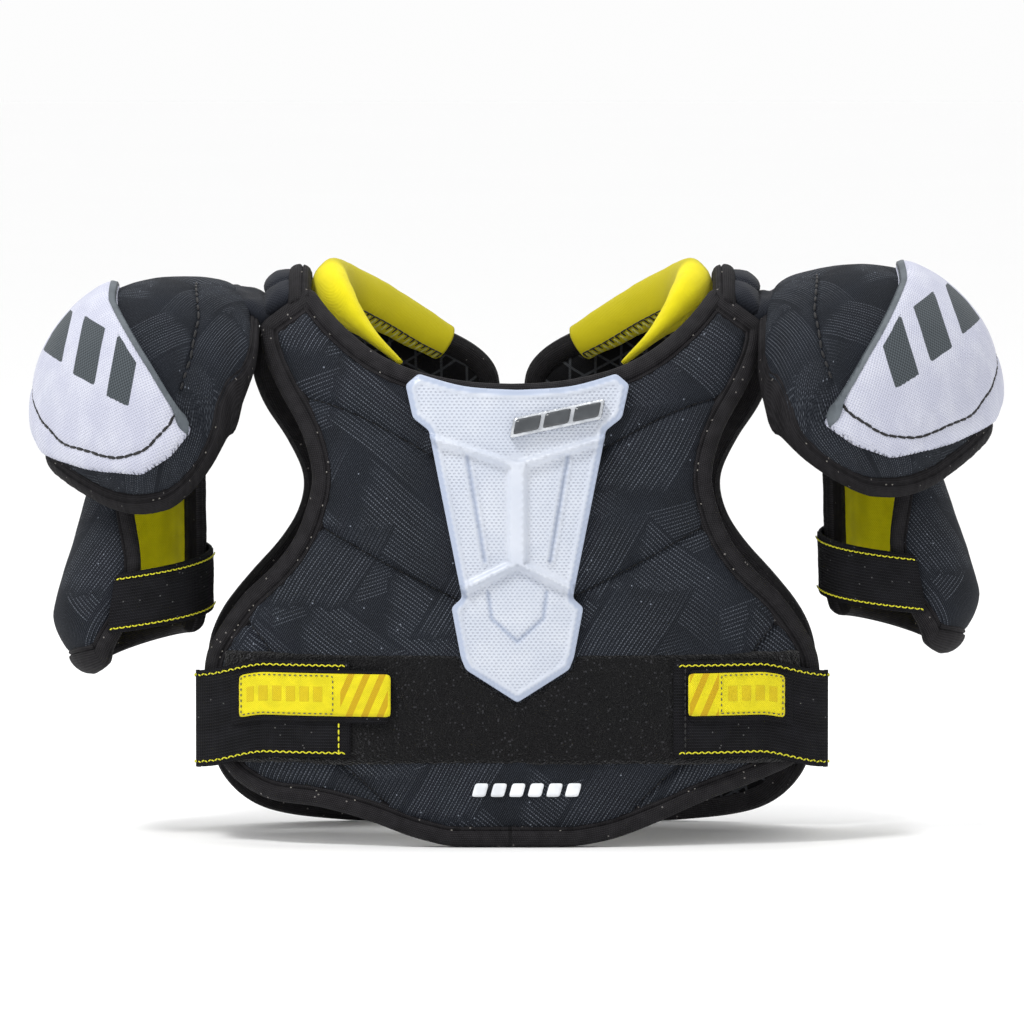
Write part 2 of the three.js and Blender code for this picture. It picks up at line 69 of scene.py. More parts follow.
# the collar's middle line, and its half width and half height there
COLLAR = [((46, -37, 197.5), 3.0, 3.6), ((59, -31, 209), 4.4, 5.0), ((71, -17, 221), 6.5, 10),
          ((74.5, 1, 227.5), 7, 10.5), ((69.5, 18, 226), 6.5, 10.5), ((56, 29, 218.5), 6, 10),
          ((41, 36, 209.5), 5.5, 9), ((28, 39, 202), 5, 7.5)]
CAP_RIM = [152, 149, 143, 137, 136, 142, 158, 186, 208, 216]  # heights of the rim, from outside to inside
CAP_X, CAP_Z, CAP_R = 142, 176, 58  # a cap's centre, and its chart's units for each radian
CAP_OUT, CAP_IN, CAP_DEEP, CAP_UP, CAP_DOWN = 54, 38, 56, 55, 60  # how far it reaches from there
CAP_POLE = 0.03  # the angle round a cap's top in which its normal isn't used
GUARD_FRONT = [58, 74, 83, 82, 74, 63, 52, 42]  # degrees of the guard's front edge, from its foot up
GUARD_X, GUARD_Z, GUARD_R, GUARD_EDGE_R = 157.6, 93, 31, 32
OVERLAY_LINE = [(163, 220.5), (148, 196.5), (132.8, 170.5), (140.5, 160), (152, 152.5), (173, 154),
                (191, 158.5)]
REST = {"right": (0, 0, 0), "left": (8, -6, 3)}  # lift and flare in degrees, and the shift towards the body
LIFT = (104, 228)
FLARE = (159.4, 205)
BODY_DEEP, BODY_WIDE, BODY_POWER = 68, 138, 2.3


def clamp(x, lo=0.0, hi=1.0):
    return lo if x < lo else hi if x > hi else x


def spline(points, n):
    pts = [Vector(p) for p in points]
    out = []
    for i in range(n + 1):
        u = i / n * (len(pts) - 1)
        k = min(int(u), len(pts) - 2)
        t = u - k
        a, b, c, d = pts[max(k - 1, 0)], pts[k], pts[k + 1], pts[min(k + 2, len(pts) - 1)]
        m0, m1 = (c - a) * 0.5, (d - b) * 0.5
        out.append(b * (2 * t**3 - 3 * t**2 + 1) + m0 * (t**3 - 2 * t**2 + t)
                   + c * (3 * t**2 - 2 * t**3) + m1 * (t**3 - t**2))
    return out


def resample(points, step, closed=False):
    pts = [Vector(p) for p in points]
    if closed:
        pts = pts + [pts[0]]
    lengths = [(b - a).length for a, b in zip(pts, pts[1:])]
    total = sum(lengths)
    count = max(2, round(total / step))
    out, k, done = [], 0, 0.0
    for i in range(count if closed else count + 1):
        s = total * i / count
        while k < len(lengths) - 1 and s > done + lengths[k]:
            done += lengths[k]
            k += 1
        out.append(pts[k].lerp(pts[k + 1], clamp((s - done) / max(lengths[k], 1e-9))))
    return out


def relax(points, rounds):
    for _ in range(rounds):
        around = [points[i - 1] + points[(i + 1) % len(points)] for i in range(len(points))]
        points = [p * 0.5 + q * 0.25 for p, q in zip(points, around)]
    return points


def rounded(points, step, rounds):
    """A closed outline with even points and softened corners."""
    return relax(resample(points, step, True), rounds)


def box(u0, u1, v0, v1, step, rounds):
    return rounded([(u0, v0), (u1, v0), (u1, v1), (u0, v1)], step, rounds)


def mirrored(half, other=None):
    return half + [Vector((-p.x, p.y)) for p in reversed(other or half) if p.x > 0.01]


def half_outline(hem, corner, side, neck, other=None):
    left, right = ([Vector(p) for p in hem] + spline(c, 30)[1:] + spline(side, 80)[1:] + spline(neck, 60)
                   for c in (corner, other or corner))
    return rounded(mirrored(left, right), 1.5, 5)


def normals_2d(points, closed=True):
    out = []
    n = len(points)
    for i in range(n):
        a = points[i - 1] if closed or i else points[0]
        b = points[(i + 1) % n] if closed or i < n - 1 else points[-1]
        d = (b - a).normalized()
        out.append(Vector((d.y, -d.x)))
    return out


def inset(points, d):
    moved = [p - q * d for p, q in zip(points, normals_2d(points))]
    near = Lines([points], True)
    return [p for p in moved if near.at(p.x, p.y)[0] > d - 0.12]


def tree_of(points):
    tree = kdtree.KDTree(len(points))
    for i, p in enumerate(points):
        tree.insert((p.x, p.y, 0), i)
    tree.balance()
    return tree


class Lines:
    """Distance to a set of polylines, with the length along them."""

    def __init__(self, lines, closed=False):
        samples = [resample(line, 0.5, closed) for line in lines]
        self.s = [0.5 * i + 500 * k for k, line in enumerate(samples) for i in range(len(line))]
        self.tree = tree_of([p for line in samples for p in line])

    def at(self, u, v):
        _, i, d = self.tree.find((u, v, 0))
        return d, self.s[i]


def body_depth(x):
    return BODY_DEEP * (1 - min(abs(x) / BODY_WIDE, 0.9995) ** BODY_POWER) ** (1 / BODY_POWER)


def ridge(x):
    return 241 - 0.0048 * max(0, abs(x) - 55) ** 2


def torso_at(x, t):
    s = math.sin(t)
    return Vector((x, -body_depth(x) * math.cos(t), ridge(x) * math.copysign(abs(s) ** (1 / 3), s)))


def torso(x, t, depth):
    e = 1e-3
    n = (torso_at(x, t + e) - torso_at(x, t - e)).cross(torso_at(x + e, t) - torso_at(x - e, t)).normalized()
    return torso_at(x, t) + n * depth


def turn(x, z):
    share = clamp(z / ridge(x), -0.2, 0.99)
    return math.asin(math.copysign(abs(share) ** 3, share))


def on_front(x, z, depth):
    return torso(x, turn(x, z), depth)


def on_back(x, z, depth):
    return torso(x, math.pi - turn(x, z), depth)


def on_top(x, y, depth):
    return torso(x, math.acos(clamp(-y / body_depth(x), -1, 1)), depth)


def at_belt(x, z, depth):
    p = torso(x, 1e-9, depth)
    return Vector((p.x, p.y, z))


RIM_STEPS = 90
RIM_FINE = [p.x for p in spline([(z, 0) for z in CAP_RIM], RIM_STEPS)]


def cap_power(a):
    return 2 / (2 + 2 * ((1 - math.cos(a)) / 2) ** 1.5)


def cap_rise(z):
    """The height of z on a cap, from -1 at its foot to 1 at its top."""
    return (z - CAP_Z) / (CAP_UP if z > CAP_Z else CAP_DOWN)


def cap_at(a, down):
    o, p, c = math.cos(a), cap_power(a), math.cos(down)
    spread = max(math.sin(down), 0) ** p
    return Vector((CAP_X + (CAP_OUT if o > 0 else CAP_IN) * o * spread, -CAP_DEEP * math.sin(a) * spread,
                   CAP_Z + (CAP_UP if c > 0 else CAP_DOWN) * math.copysign(abs(c) ** p, c)))


def cap(a, down, depth):
    if down < CAP_POLE:
        return Vector((CAP_X, 0, CAP_Z + CAP_UP - depth)).lerp(cap(a, CAP_POLE, depth), down / CAP_POLE)
    e = 1e-3
    across = cap_at(a + e, down) - cap_at(a - e, down)
    along = cap_at(a, down + e) - cap_at(a, down - e)
    return cap_at(a, down) - across.cross(along).normalized() * depth


def rim_down(a, short):
    share = abs(math.atan2(math.sin(a), math.cos(a))) / math.pi * RIM_STEPS
    k = min(int(share), RIM_STEPS - 1)
    z = RIM_FINE[k] + (RIM_FINE[k + 1] - RIM_FINE[k]) * (share - k) + short
    rise = cap_rise(z)
    return math.acos(math.copysign(min(1, abs(rise)) ** (1 / cap_power(a)), rise))


def on_cap(u, v, depth):
    return cap(math.atan2(v, u), math.hypot(u, v) / CAP_R, depth)


def cap_chart(x, z):
    """The chart point of the cap's surface seen at x, z from the front."""
    a, rise = 0.5, cap_rise(z)
    for _ in range(40):
        p = cap_power(a)
        down = math.acos(math.copysign(min(1, abs(rise)) ** (1 / p), rise))
        reach = (CAP_OUT if x > CAP_X else CAP_IN) * max(math.sin(down), 1e-6) ** p
        a = 0.5 * a + 0.5 * math.acos(clamp((x - CAP_X) / reach, -1, 1))
    r = down * CAP_R
    return Vector((r * math.cos(a), r * math.sin(a)))


def guard_at(a, z, depth):
    above, below = max(z - GUARD_Z, 0), max(GUARD_Z - z, 0)
    wide = 30 - 0.13 * above - 0.016 * below**2
    deep = 34 - 0.08 * above - 0.01 * below**2
    middle = GUARD_X - 0.12 * (z - GUARD_Z)
    return Vector((middle + (wide - depth) * math.cos(a), -(deep - depth) * math.sin(a), z))


def on_guard(u, v, depth):
    return guard_at(u / GUARD_R, v, depth)


def guard_edge(along, up, spare):
    more = spare / (GUARD_EDGE_R * DEG)
    front = spline([(a, 0) for a in GUARD_FRONT], 70)[round(clamp(up) * 70)].x + more
    rear = -165 - more
    a = rear + (front - rear) * along
    low = 73 + 16 * (1 - math.cos(a * DEG)) / 2 - spare
    return Vector((a * DEG * GUARD_R, low + up * (162 + spare - low)))


def turned(p, cx, cz, degrees):
    t = -degrees * DEG
    dx, dz = p.x - cx, p.z - cz
    return Vector((cx + dx * math.cos(t) + dz * math.sin(t), p.y, cz - dx * math.sin(t) + dz * math.cos(t)))


def arm_place(side, level):
    """Where a point of the left-hand shape lies at rest: level 0 is the body, 1 the cap, 2 the guard."""
    lift, flare, inward = REST[side]

    def move(p):
        if level == 2:
            p = turned(p, *FLARE, flare)
        if level:
            p = turned(p, *LIFT, lift)
            p = Vector((p.x - inward, p.y, p.z))
        return p if side == "left" else Vector((-p.x, p.y, p.z))
    return move


# ---------- making meshes ----------
def piece(name, verts, faces, mat, body=None, uv=None, slot=None, replaces=(), padded=None):
    mesh = bpy.data.meshes.new(name)
    mesh.from_pydata([tuple(v * MM) for v in verts], [], faces)
    mesh.validate()
    mesh.materials.append(mat)
    if uv:
        layer = mesh.uv_layers.new(name="UVMap")
        for loop in mesh.loops:
            a = uv[loop.vertex_index]
            layer.data[loop.index].uv = (a[0] / 100, a[1] / 100)
    mesh.polygons.foreach_set("use_smooth", [True] * len(mesh.polygons))
    obj = bpy.data.objects.new(name, mesh)
    bpy.context.scene.collection.objects.link(obj)
    if body:
        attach(obj, body)
    if replaces:
        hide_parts(*replaces)
    return obj


def shell_volume(verts, faces):
    """Six times the volume inside a closed shell, below 0 when its faces point in."""
    return sum(verts[f[0]].dot(verts[f[k]].cross(verts[f[k + 1]])) for f in faces
               for k in range(1, len(f) - 1))


def outward(verts, faces):
    """A closed shell's faces, turned over if they point in."""
    return [tuple(reversed(f)) for f in faces] if shell_volume(verts, faces) < 0 else faces


def crossings(outline, v):
    """Where a closed outline crosses the level v."""
    return [a.x + (b.x - a.x) * (v - a.y) / (b.y - a.y) for a, b in zip(outline, outline[1:] + outline[:1])
            if (a.y > v) != (b.y > v)]


def within(outline, p):
    """Whether a point lies inside a closed outline."""
    return sum(p.x < u for u in crossings(outline, p.y)) % 2 == 1


def fill(outline, spacing, extra=()):
    """Triangles over a 2-D outline, with rows of points inside it."""
    edge = resample(outline, spacing * 0.8, True)
    near = Lines([edge], True)
    rows = [resample(line, spacing * 0.7) for line in extra]
    keep = [p + q * side for row in rows for p, q in zip(row, normals_2d(row, False))
            for side in (-1.5, 0.0, 1.5)]
    keep = [p for p in keep if near.at(p.x, p.y)[0] > spacing * 0.5 and within(edge, p)]
    tree = tree_of(keep) if keep else None
    inner = list(keep)
    v0, v1 = min(p.y for p in edge), max(p.y for p in edge)
    u0 = min(p.x for p in edge)
    row, v = 0, v0 + spacing * 0.5
    while v < v1:
        cross = sorted(crossings(edge, v))
        for lo, hi in zip(cross[::2], cross[1::2]):
            u = u0 + spacing * (math.ceil((lo - u0) / spacing) + 0.5 * (row % 2))
            while u < hi:
                clear = near.at(u, v)[0] > spacing * 0.6
                if clear and (not keep or tree.find((u, v, 0))[2] > spacing * 0.55):
                    inner.append(Vector((u, v)))
                u += spacing
        row += 1
        v += spacing * 0.87
    n = len(edge)
    border = [(i, (i + 1) % n) for i in range(n)]
    points, _, faces, sources, _, _ = delaunay_2d_cdt(edge + inner, border, [], 1, 1e-4)
    first = {}
    for i, orig in enumerate(sources):
        for o in orig:
            first[o] = i
    return points, [tuple(f) for f in faces], [first[i] for i in range(n)]


def ripple(s, d, size=0.35, wave=5.0, reach=5.0, seed=0.0):
    return size * noise.noise((s / wave, seed, d / 14)) * math.exp(-d / reach)


def depth_of(depth):
    """A depth for pad as a function of (u, v, edge distance, line distance, length along)."""
    return depth if callable(depth) else lambda u, v, de, ds, s: depth


def pad(name, outline, place, outer, inner, spacing, lines=(), move=None, mat=None, **kw):
    """A closed pad over a 2-D outline, between two depths that are numbers or functions."""
    points, faces, rim = fill(outline, spacing, lines)
    near = Lines([outline], True)
    seams = Lines(lines) if lines else None
    outer, inner = depth_of(outer), depth_of(inner)
    top, low = [], []
    for p in points:
        de, se = near.at(p.x, p.y)
        ds, ss = seams.at(p.x, p.y) if seams else (99.0, 0.0)
        top.append(place(p.x, p.y, outer(p.x, p.y, de, ds, se if de < ds else ss)))
        low.append(place(p.x, p.y, inner(p.x, p.y, de, ds, se)))
    n = len(points)
    verts = top + low
    all_faces = faces + [tuple(i + n for i in reversed(f)) for f in faces]
    m = len(rim)
    for i in range(m):
        a, b = rim[i], rim[(i + 1) % m]
        all_faces.append((b, a, a + n, b + n))
    uv = [(p.x, p.y) for p in points] * 2
    if move:
        verts = [move(v) for v in verts]
    return piece(name, verts, outward(verts, all_faces), mat, uv=uv, **kw)


def sweep(name, rings, mat, closed=False, uv=None, **kw):
    """A tube through rings of points, with its ends capped unless it is closed."""
    n, m = len(rings), len(rings[0])
    verts = [p for ring in rings for p in ring]
    faces = []
    for i in range(n if closed else n - 1):
        a, b = i * m, ((i + 1) % n) * m
        faces += [(a + j, a + (j + 1) % m, b + (j + 1) % m, b + j) for j in range(m)]
    if not closed:
        faces += [tuple(range(m - 1, -1, -1)), tuple((n - 1) * m + j for j in range(m))]
    return piece(name, verts, outward(verts, faces), mat, uv=uv, **kw)


# places across a tape, from its outer fold (1) to its inner edge (-1), on its face and its back
TAPE_FACE = (1.0, 0.95, 0.83, 0.62, 0.38, 0.14, -0.06, -0.22, -0.31, -0.38, -0.45, -0.54, -0.66, -0.8, -0.94,
             -1.0)
TAPE_BACK = (-0.8, -0.4, 0.0, 0.4, 0.8)
GROOVE_AT = -0.38


def tape(name, path, place, mat, lean, half, middle, thick, closed, move, grow, **kw):
    """Binding tape folded over a pad's edge: path is the edge, lean how far in the tape's middle is."""
    norms = normals_2d(path, closed)
    stations = [(x, 1) for x in TAPE_FACE] + [(x, -1) for x in TAPE_BACK]
    rings, uv, s = [], [], 0.0
    for i, (p, q) in enumerate(zip(path, norms)):
        if i:
            s += (p - path[i - 1]).length
        size = grow(p) if grow else 1.0
        ring = []
        for k, (side, face) in enumerate(stations):
            out = -lean + half * size * side
            level = max(0.0, 1 - abs(side) ** 2.4) ** (1 / 2.4)
            groove = 1.25 * math.exp(-(((side - GROOVE_AT) / 0.07) ** 2)) if face > 0 else 0.0
            slope = 0.9 * clamp(-side) if face > 0 else 0.0
            bump = 0.22 * noise.noise((s / 7, k / 4, 1.7)) + 0.14 * noise.noise((s / 2.2, k / 5, 5.1))
            w = middle - (thick * size + bump) * level * face + groove + slope
            v = place(p.x + q.x * out, p.y + q.y * out, w)
            ring.append(move(v) if move else v)
            uv.append((s, half * side if face > 0 else 20 + half * side))
        rings.append(ring)
    return sweep(name, rings, mat, closed, uv, **kw)


def stitches(name, runs, mat, length, pitch, radius, slack=0.0, share=1.0, **kw):
    """Short threads laid along runs of 3-D points; share leaves some of them out."""
    verts, faces = [], []
    for k, run in enumerate(runs):
        pts = resample(run, pitch / THREAD_STEP)
        reach = max(1, round(length / pitch * THREAD_STEP))
        for i in range(0, len(pts) - reach, THREAD_STEP):
            a, b = pts[i], pts[i + reach]
            if 0.5 + 0.5 * noise.noise((i * 1.3, k * 5.7, 9.1)) > 0.25 + share * 0.6:
                continue
            wob = slack * noise.noise((i * 0.7, k * 3.1, 0.5))
            a, b = a + Vector((0, 0, wob)), b + Vector((0, 0, -wob))
            d = (b - a).normalized()
            side = d.orthogonal().normalized()
            up = d.cross(side)
            base = len(verts)
            for t, r in ((0.0, 0.35), (0.2, 1.0), (0.8, 1.0), (1.0, 0.35)):
                c = a.lerp(b, t)
                verts += [c + (side * math.cos(w) + up * math.sin(w)) * radius * r for w in THREAD_TURNS]
            for j in range(3):
                for w in range(5):
                    p, q = base + j * 5 + w, base + j * 5 + (w + 1) % 5
                    faces.append((p, q, q + 5, p + 5))
            faces += [tuple(base + w for w in (4, 3, 2, 1, 0)), tuple(base + 15 + w for w in range(5))]
    return piece(name, verts, faces, mat, **kw)


THREAD_STEP = 4  # points for each pitch of a row of threads
THREAD_TURNS = (0.0, 1.257, 2.513, 3.77, 5.027)


def bound_edge(kind, tail, path, place, body, size=(4.4, 5.0, 3.4, 4.3), groove=0.15, closed=True, move=None,
               grow=None, bound=True):
    """Binding tape and the specks of thread in its groove; size is its lean, half, middle and thick."""
    about = {"body": body, "slot": "binding_tape"}
    tape(f"{kind}_edge_tape{tail}", path, place, TAPE, *size, closed, move, grow,
         replaces=(f"{kind}_binding{tail}",) if bound else (), **about)
    out = size[0] - size[1] * GROOVE_AT
    run = [place(p.x - q.x * out, p.y - q.y * out, groove) for p, q in zip(path, normals_2d(path, closed))]
    run = [move(v) if move else v for v in run]
    stitches(f"{kind}_edge_thread{tail}", [run + run[:1] if closed else run], SPECK_THREAD, 0.9, 2.8, 0.27,
             share=0.18, **about)


def zigzags(name, at, levels, depth, ends, pitch, size, move, length, gap, **kw):
    """Rows of zigzag thread at levels on a strap, from one end to the other."""
    made = []
    for k, level in enumerate(levels):
        run = [move(at(ends[0] + pitch * i, level + size * (1 if i % 2 else -1), depth))
               for i in range(int((ends[1] - ends[0]) / pitch) + 1)]
        made.append(stitches(f"{name}_{k + 1}", list(zip(run, run[1:])), LIME_THREAD, length, gap, 0.3,
                             slot="elastic", **kw))
    return made


# ---------- materials ----------
class Val:
    """A value in a node tree, so that patterns can be written as sums."""

    def __init__(self, tree, socket):
        self.tree, self.socket = tree, socket

    def op(self, kind, *others):
        node = self.tree.nodes.new("ShaderNodeMath")
        node.operation = kind
        for i, x in enumerate((self, *others)):
            if isinstance(x, Val):
                self.tree.links.new(x.socket, node.inputs[i])
            else:
                node.inputs[i].default_value = x
        return Val(self.tree, node.outputs[0])

    def __add__(self, o):
        return self.op("ADD", o)

    def __sub__(self, o):
        return self.op("SUBTRACT", o)

    def __mul__(self, o):
        return self.op("MULTIPLY", o)

    def __truediv__(self, o):
        return self.op("DIVIDE", o)

    def above(self, o):
        return self.op("GREATER_THAN", o)

    def flipped(self):
        return self * -1.0 + 1.0

    def stepped(self, size):
        return (self / size).op("ROUND")

    def ramp(self, lo, hi, a=0.0, b=1.0):
        node = self.tree.nodes.new("ShaderNodeMapRange")
        node.interpolation_type = "SMOOTHSTEP"
        self.tree.links.new(self.socket, node.inputs["Value"])
        for key, x in (("From Min", lo), ("From Max", hi), ("To Min", a), ("To Max", b)):
            node.inputs[key].default_value = x
        return Val(self.tree, node.outputs[0])


class Mat:
    def __init__(self, name, rough, metal=0.0, sheen=0.0, spec=0.5, coat=0.0):
        self.mat = bpy.data.materials.new(name)
        self.mat.use_nodes = True
        self.tree = self.mat.node_tree
        self.bsdf = self.tree.nodes["Principled BSDF"]
        for key, x in (("Roughness", rough), ("Metallic", metal), ("Sheen Weight", sheen),
                       ("Specular IOR Level", spec), ("Coat Weight", coat)):
            self.bsdf.inputs[key].default_value = x
        self.bsdf.inputs["Sheen Roughness"].default_value = 0.5

    def new(self, kind):
        return self.tree.nodes.new(kind)

    def uv(self):
        node = self.new("ShaderNodeUVMap")
        node.uv_map = "UVMap"
        split = self.new("ShaderNodeSeparateXYZ")
        self.tree.links.new(node.outputs[0], split.inputs[0])
        self.here = tuple(Val(self.tree, split.outputs[i]) * 100.0 for i in range(2))
        return self.here

    def place(self):
        node = self.new("ShaderNodeTexCoord")
        split = self.new("ShaderNodeSeparateXYZ")
        self.tree.links.new(node.outputs["Object"], split.inputs[0])
        return [Val(self.tree, split.outputs[i]) * 1000.0 for i in range(3)]

    def attribute(self, name):
        node = self.new("ShaderNodeAttribute")
        node.attribute_name = name
        return Val(self.tree, node.outputs["Fac"])

    def vec(self, x, y, z=0.0):
        node = self.new("ShaderNodeCombineXYZ")
        for i, v in enumerate((x, y, z)):
            if isinstance(v, Val):
                self.tree.links.new(v.socket, node.inputs[i])
            else:
                node.inputs[i].default_value = v
        return node.outputs[0]

    def noise(self, scale, detail, at=None):
        """Noise at a point, or over the UV map."""
        node = self.new("ShaderNodeTexNoise")
        self.tree.links.new(self.vec(*(at or self.here)), node.inputs["Vector"])
        node.inputs["Scale"].default_value = scale
        node.inputs["Detail"].default_value = detail
        return Val(self.tree, node.outputs["Fac"])

    def white(self, *at):
        node = self.new("ShaderNodeTexWhiteNoise")
        node.noise_dimensions = "3D"
        self.tree.links.new(self.vec(*at), node.inputs["Vector"])
        return Val(self.tree, node.outputs["Value"])

    def specks(self, size, over, seed=0.0):
        """1 in the few squares of a size whose random value is over a limit."""
        u, v = self.here
        return self.white(u.stepped(size), v.stepped(size), seed).above(over)

    def voronoi(self, scale):
        node = self.new("ShaderNodeTexVoronoi")
        node.feature = "F1"
        self.tree.links.new(self.vec(*self.here), node.inputs["Vector"])
        node.inputs["Scale"].default_value = scale
        return Val(self.tree, node.outputs["Distance"])

    def mix(self, fac, a, b):
        node = self.new("ShaderNodeMix")
        node.data_type = "RGBA"
        self.tree.links.new(fac.socket, node.inputs["Factor"])
        for key, x in ((6, a), (7, b)):
            if isinstance(x, (tuple, list)):
                node.inputs[key].default_value = (*x[:3], 1)
            else:
                self.tree.links.new(x, node.inputs[key])
        return node.outputs[2]

    def colour(self, socket):
        if isinstance(socket, (tuple, list)):
            self.bsdf.inputs["Base Color"].default_value = (*socket[:3], 1)
        else:
            self.tree.links.new(socket, self.bsdf.inputs["Base Color"])

    def roughness(self, value):
        self.tree.links.new(value.socket, self.bsdf.inputs["Roughness"])

    def bump(self, height, distance, strength=1.0):
        node = self.new("ShaderNodeBump")
        node.inputs["Distance"].default_value = distance
        node.inputs["Strength"].default_value = strength
        self.tree.links.new(height.socket, node.inputs["Height"])
        self.tree.links.new(node.outputs[0], self.bsdf.inputs["Normal"])


def srgb(r, g, b):
    def one(v):
        v /= 255
        return v / 12.92 if v <= 0.04045 else ((v + 0.055) / 1.055) ** 2.4
    return (one(r), one(g), one(b))


def shade(colour, share):
    return tuple(x * share for x in colour)


def wave(x, pitch, phase=0.0):
    return (x * (2 * math.pi / pitch) + phase).op("SINE")


PITCH = 1.5  # from one printed line of the fabric to the next


def hatch(m, u, v, degrees, seed, width, length, share):
    """Patches of parallel dashed lines that run one way; returns the dashes and the patches, 0 to 1."""
    c, s = math.cos(degrees * DEG), math.sin(degrees * DEG)
    along, across = u * c + v * s, v * c - u * s
    bent = across + m.noise(0.02, 0.0) * 6.0
    own = m.white(bent.stepped(PITCH), seed, 3.0)
    column = (bent / width + seed).op("FLOOR")
    shifted = (along + bent * 0.55 + own * 2.6) / length + column * 0.37
    cell = m.white(column, shifted.op("FLOOR"), seed)
    inside = shifted.op("FRACT")
    fade = inside.ramp(0.0, 0.12) * inside.ramp(0.35, 1.0, 1.0, 0.0)
    strip = (bent / width + seed).op("FRACT")
    gap = strip.above(0.03) * strip.ramp(0.93, 0.95, 1.0, 0.0)
    line = wave(bent, PITCH).ramp(0.45, 1.0)
    dash = wave(along + own * 5.0, 1.15).ramp(-0.4, 0.6, 0.15, 1.0)
    speck = m.noise(0.8, 1.0).ramp(0.32, 0.6, 0.45, 1.0)
    here = cell.above(1.0 - share)
    marks = line * dash * fade * gap * speck * (own * 0.5 + 0.6) * here
    return marks, here * inside.ramp(0.75, 0.8, 1.0, 0.0)


def panel_fabric(name, base, line):
    m = Mat(name, 0.8, spec=0.12)
    u, v = m.uv()
    a, over_a = hatch(m, u, v, 60, 1.3, 30, 52, 0.6)
    b, over_b = hatch(m, u, v, -40, 7.7, 27, 58, 0.6)
    c, _ = hatch(m, u, v, 18, 4.1, 24, 50, 0.55)
    b = b * over_a.flipped()
    c = c * over_a.op("MAXIMUM", over_b).flipped()
    weave = wave(u + v * 0.5, 1.05) * wave(v - u * 0.2, 0.95)
    marks = a.op("MAXIMUM", b).op("MAXIMUM", c * 0.8)
    tone = m.noise(0.04, 3.0).ramp(0.3, 0.7)
    ground = m.mix(tone, shade(base, 0.75), shade(base, 1.3))
    lint = m.specks(0.55, 0.9994, 5.0)
    fine = weave.ramp(0.1, 1.0, 0.0, 0.14) + m.noise(1.7, 1.0).ramp(0.5, 0.75, 0.0, 0.05)
    grain = m.mix(fine, ground, line)
    m.colour(m.mix((marks * 0.44).op("MAXIMUM", lint * 0.6), grain, line))
    m.bump(weave * 0.45 + marks * 0.9 + m.noise(1.4, 2.0) * 0.35, 0.0002, 0.7)
    m.roughness(marks.ramp(0.0, 1.0, 0.82, 0.55))
    return m.mat


def binding_mat():
    m = Mat("binding_tape", 0.78, spec=0.14)
    u, v = m.uv()
    rib = wave(v, 0.8)
    fine = wave(u + v * 0.3, 0.75)
    tone = m.noise(0.2, 3.0)
    speck = m.specks(0.6, 0.998)
    ground = m.mix(tone.ramp(0.3, 0.7), srgb(19, 18, 20), srgb(31, 30, 32))
    ground = m.mix((rib * 0.5 + fine * 0.5).ramp(0.0, 1.0, 0.0, 0.6), ground, srgb(58, 56, 59))
    m.colour(m.mix(speck * 0.55, ground, srgb(150, 146, 142)))
    m.bump(rib * 0.45 + fine * 0.45 + tone * 0.6, 0.00018, 0.9)
    return m.mat


def knit(name, light, dark, pitch=0.8, shaded=False):
    """A plain knit; where the mesh's shade attribute is 1 its colour is darkened as painted shade."""
    m = Mat(name, 0.8, sheen=0.08, spec=0.15)
    u, v = m.uv()
    loops = wave(u, pitch) * wave(v, pitch * 0.8)
    tone = m.noise(0.08, 3.0).ramp(0.3, 0.7)
    ground = m.mix(tone, light, dark)
    if shaded:
        # painted shade: mixed towards a darker yellow where the shade attribute is 1
        ground = m.mix(m.attribute("shade"), ground, shade(dark, 0.66))
    m.colour(m.mix(loops.ramp(-1.0, 0.6, 0.25, 0.0), ground, shade(dark, 0.6)))
    m.bump(loops + m.noise(0.7, 3.0) * 0.5, 0.00016, 0.7)
    return m.mat


def plate_mat():
    """Moulded white, with brick-like rows of small oval dots where the mesh's dots attribute is 1; painted
    bluish-grey shade where its border attribute is 1.
    """
    m = Mat("white_plate", 0.38, spec=0.4)
    u, v = m.uv()
    mask = m.attribute("dots")
    wide, high = 1.9, 1.25
    row = (v / high).op("FLOOR")
    shift = (row / 2.0).op("FRACT").above(0.25) * 0.5
    across = ((u / wide + shift).op("FRACT") - 0.5) * wide
    level = ((v / high).op("FRACT") - 0.5) * high
    oval = (across * across * 0.34 + level * level).op("SQRT")
    dots = oval.ramp(0.16, 0.36, 1.0, 0.0)
    grime = m.noise(0.05, 3.0).ramp(0.35, 0.7)
    base = m.mix(grime, srgb(190, 196, 208), srgb(199, 204, 214))
    # painted shade: bluish-grey round the plate's bevelled rim and along its grooves, where the border
    # attribute is 1
    base = m.mix(m.attribute("border"), base, srgb(164, 174, 194))
    m.colour(m.mix(dots * mask * 0.34, base, srgb(138, 147, 170)))
    m.bump(dots * mask * -1.0 + m.noise(1.3, 2.0) * 0.1, 0.0003, 1.0)
    m.roughness(mask.ramp(0.0, 1.0, 0.3, 0.5))
    return m.mat


def elastic_mat():
    m = Mat("black_elastic", 0.85, spec=0.1)
    u, v = m.uv()
    rib = wave(v, 1.25)
    cord = wave(u, 0.9)
    tone = m.noise(0.12, 3.0)
    base = m.mix(tone.ramp(0.3, 0.7), srgb(12, 12, 14), srgb(21, 21, 24))
    lint = m.specks(0.5, 0.9975, 2.0)
    weave = m.mix((rib * cord).ramp(0.1, 1.0) * 0.4 + rib.ramp(0.3, 1.0) * 0.2, base, srgb(52, 52, 56))
    m.colour(m.mix(lint * 0.5, weave, srgb(120, 120, 120)))
    m.bump(rib * 0.6 + cord * 0.4, 0.0003, 0.9)
    return m.mat


def pile_mat(name, dark, mid, bright, share):
    m = Mat(name, 0.95, sheen=0.12, spec=0.08)
    u, v = m.uv()
    loops = m.voronoi(1.05)
    fuzz = m.noise(1.7, 4.0)
    base = m.mix(fuzz.ramp(0.35, 0.65), dark, mid)
    glint = m.specks(0.7, 1.0 - share)
    m.colour(m.mix(glint * 0.5, base, bright))
    m.bump(loops * -1.0 + fuzz * 1.4, 0.0009, 1.0)
    return m.mat


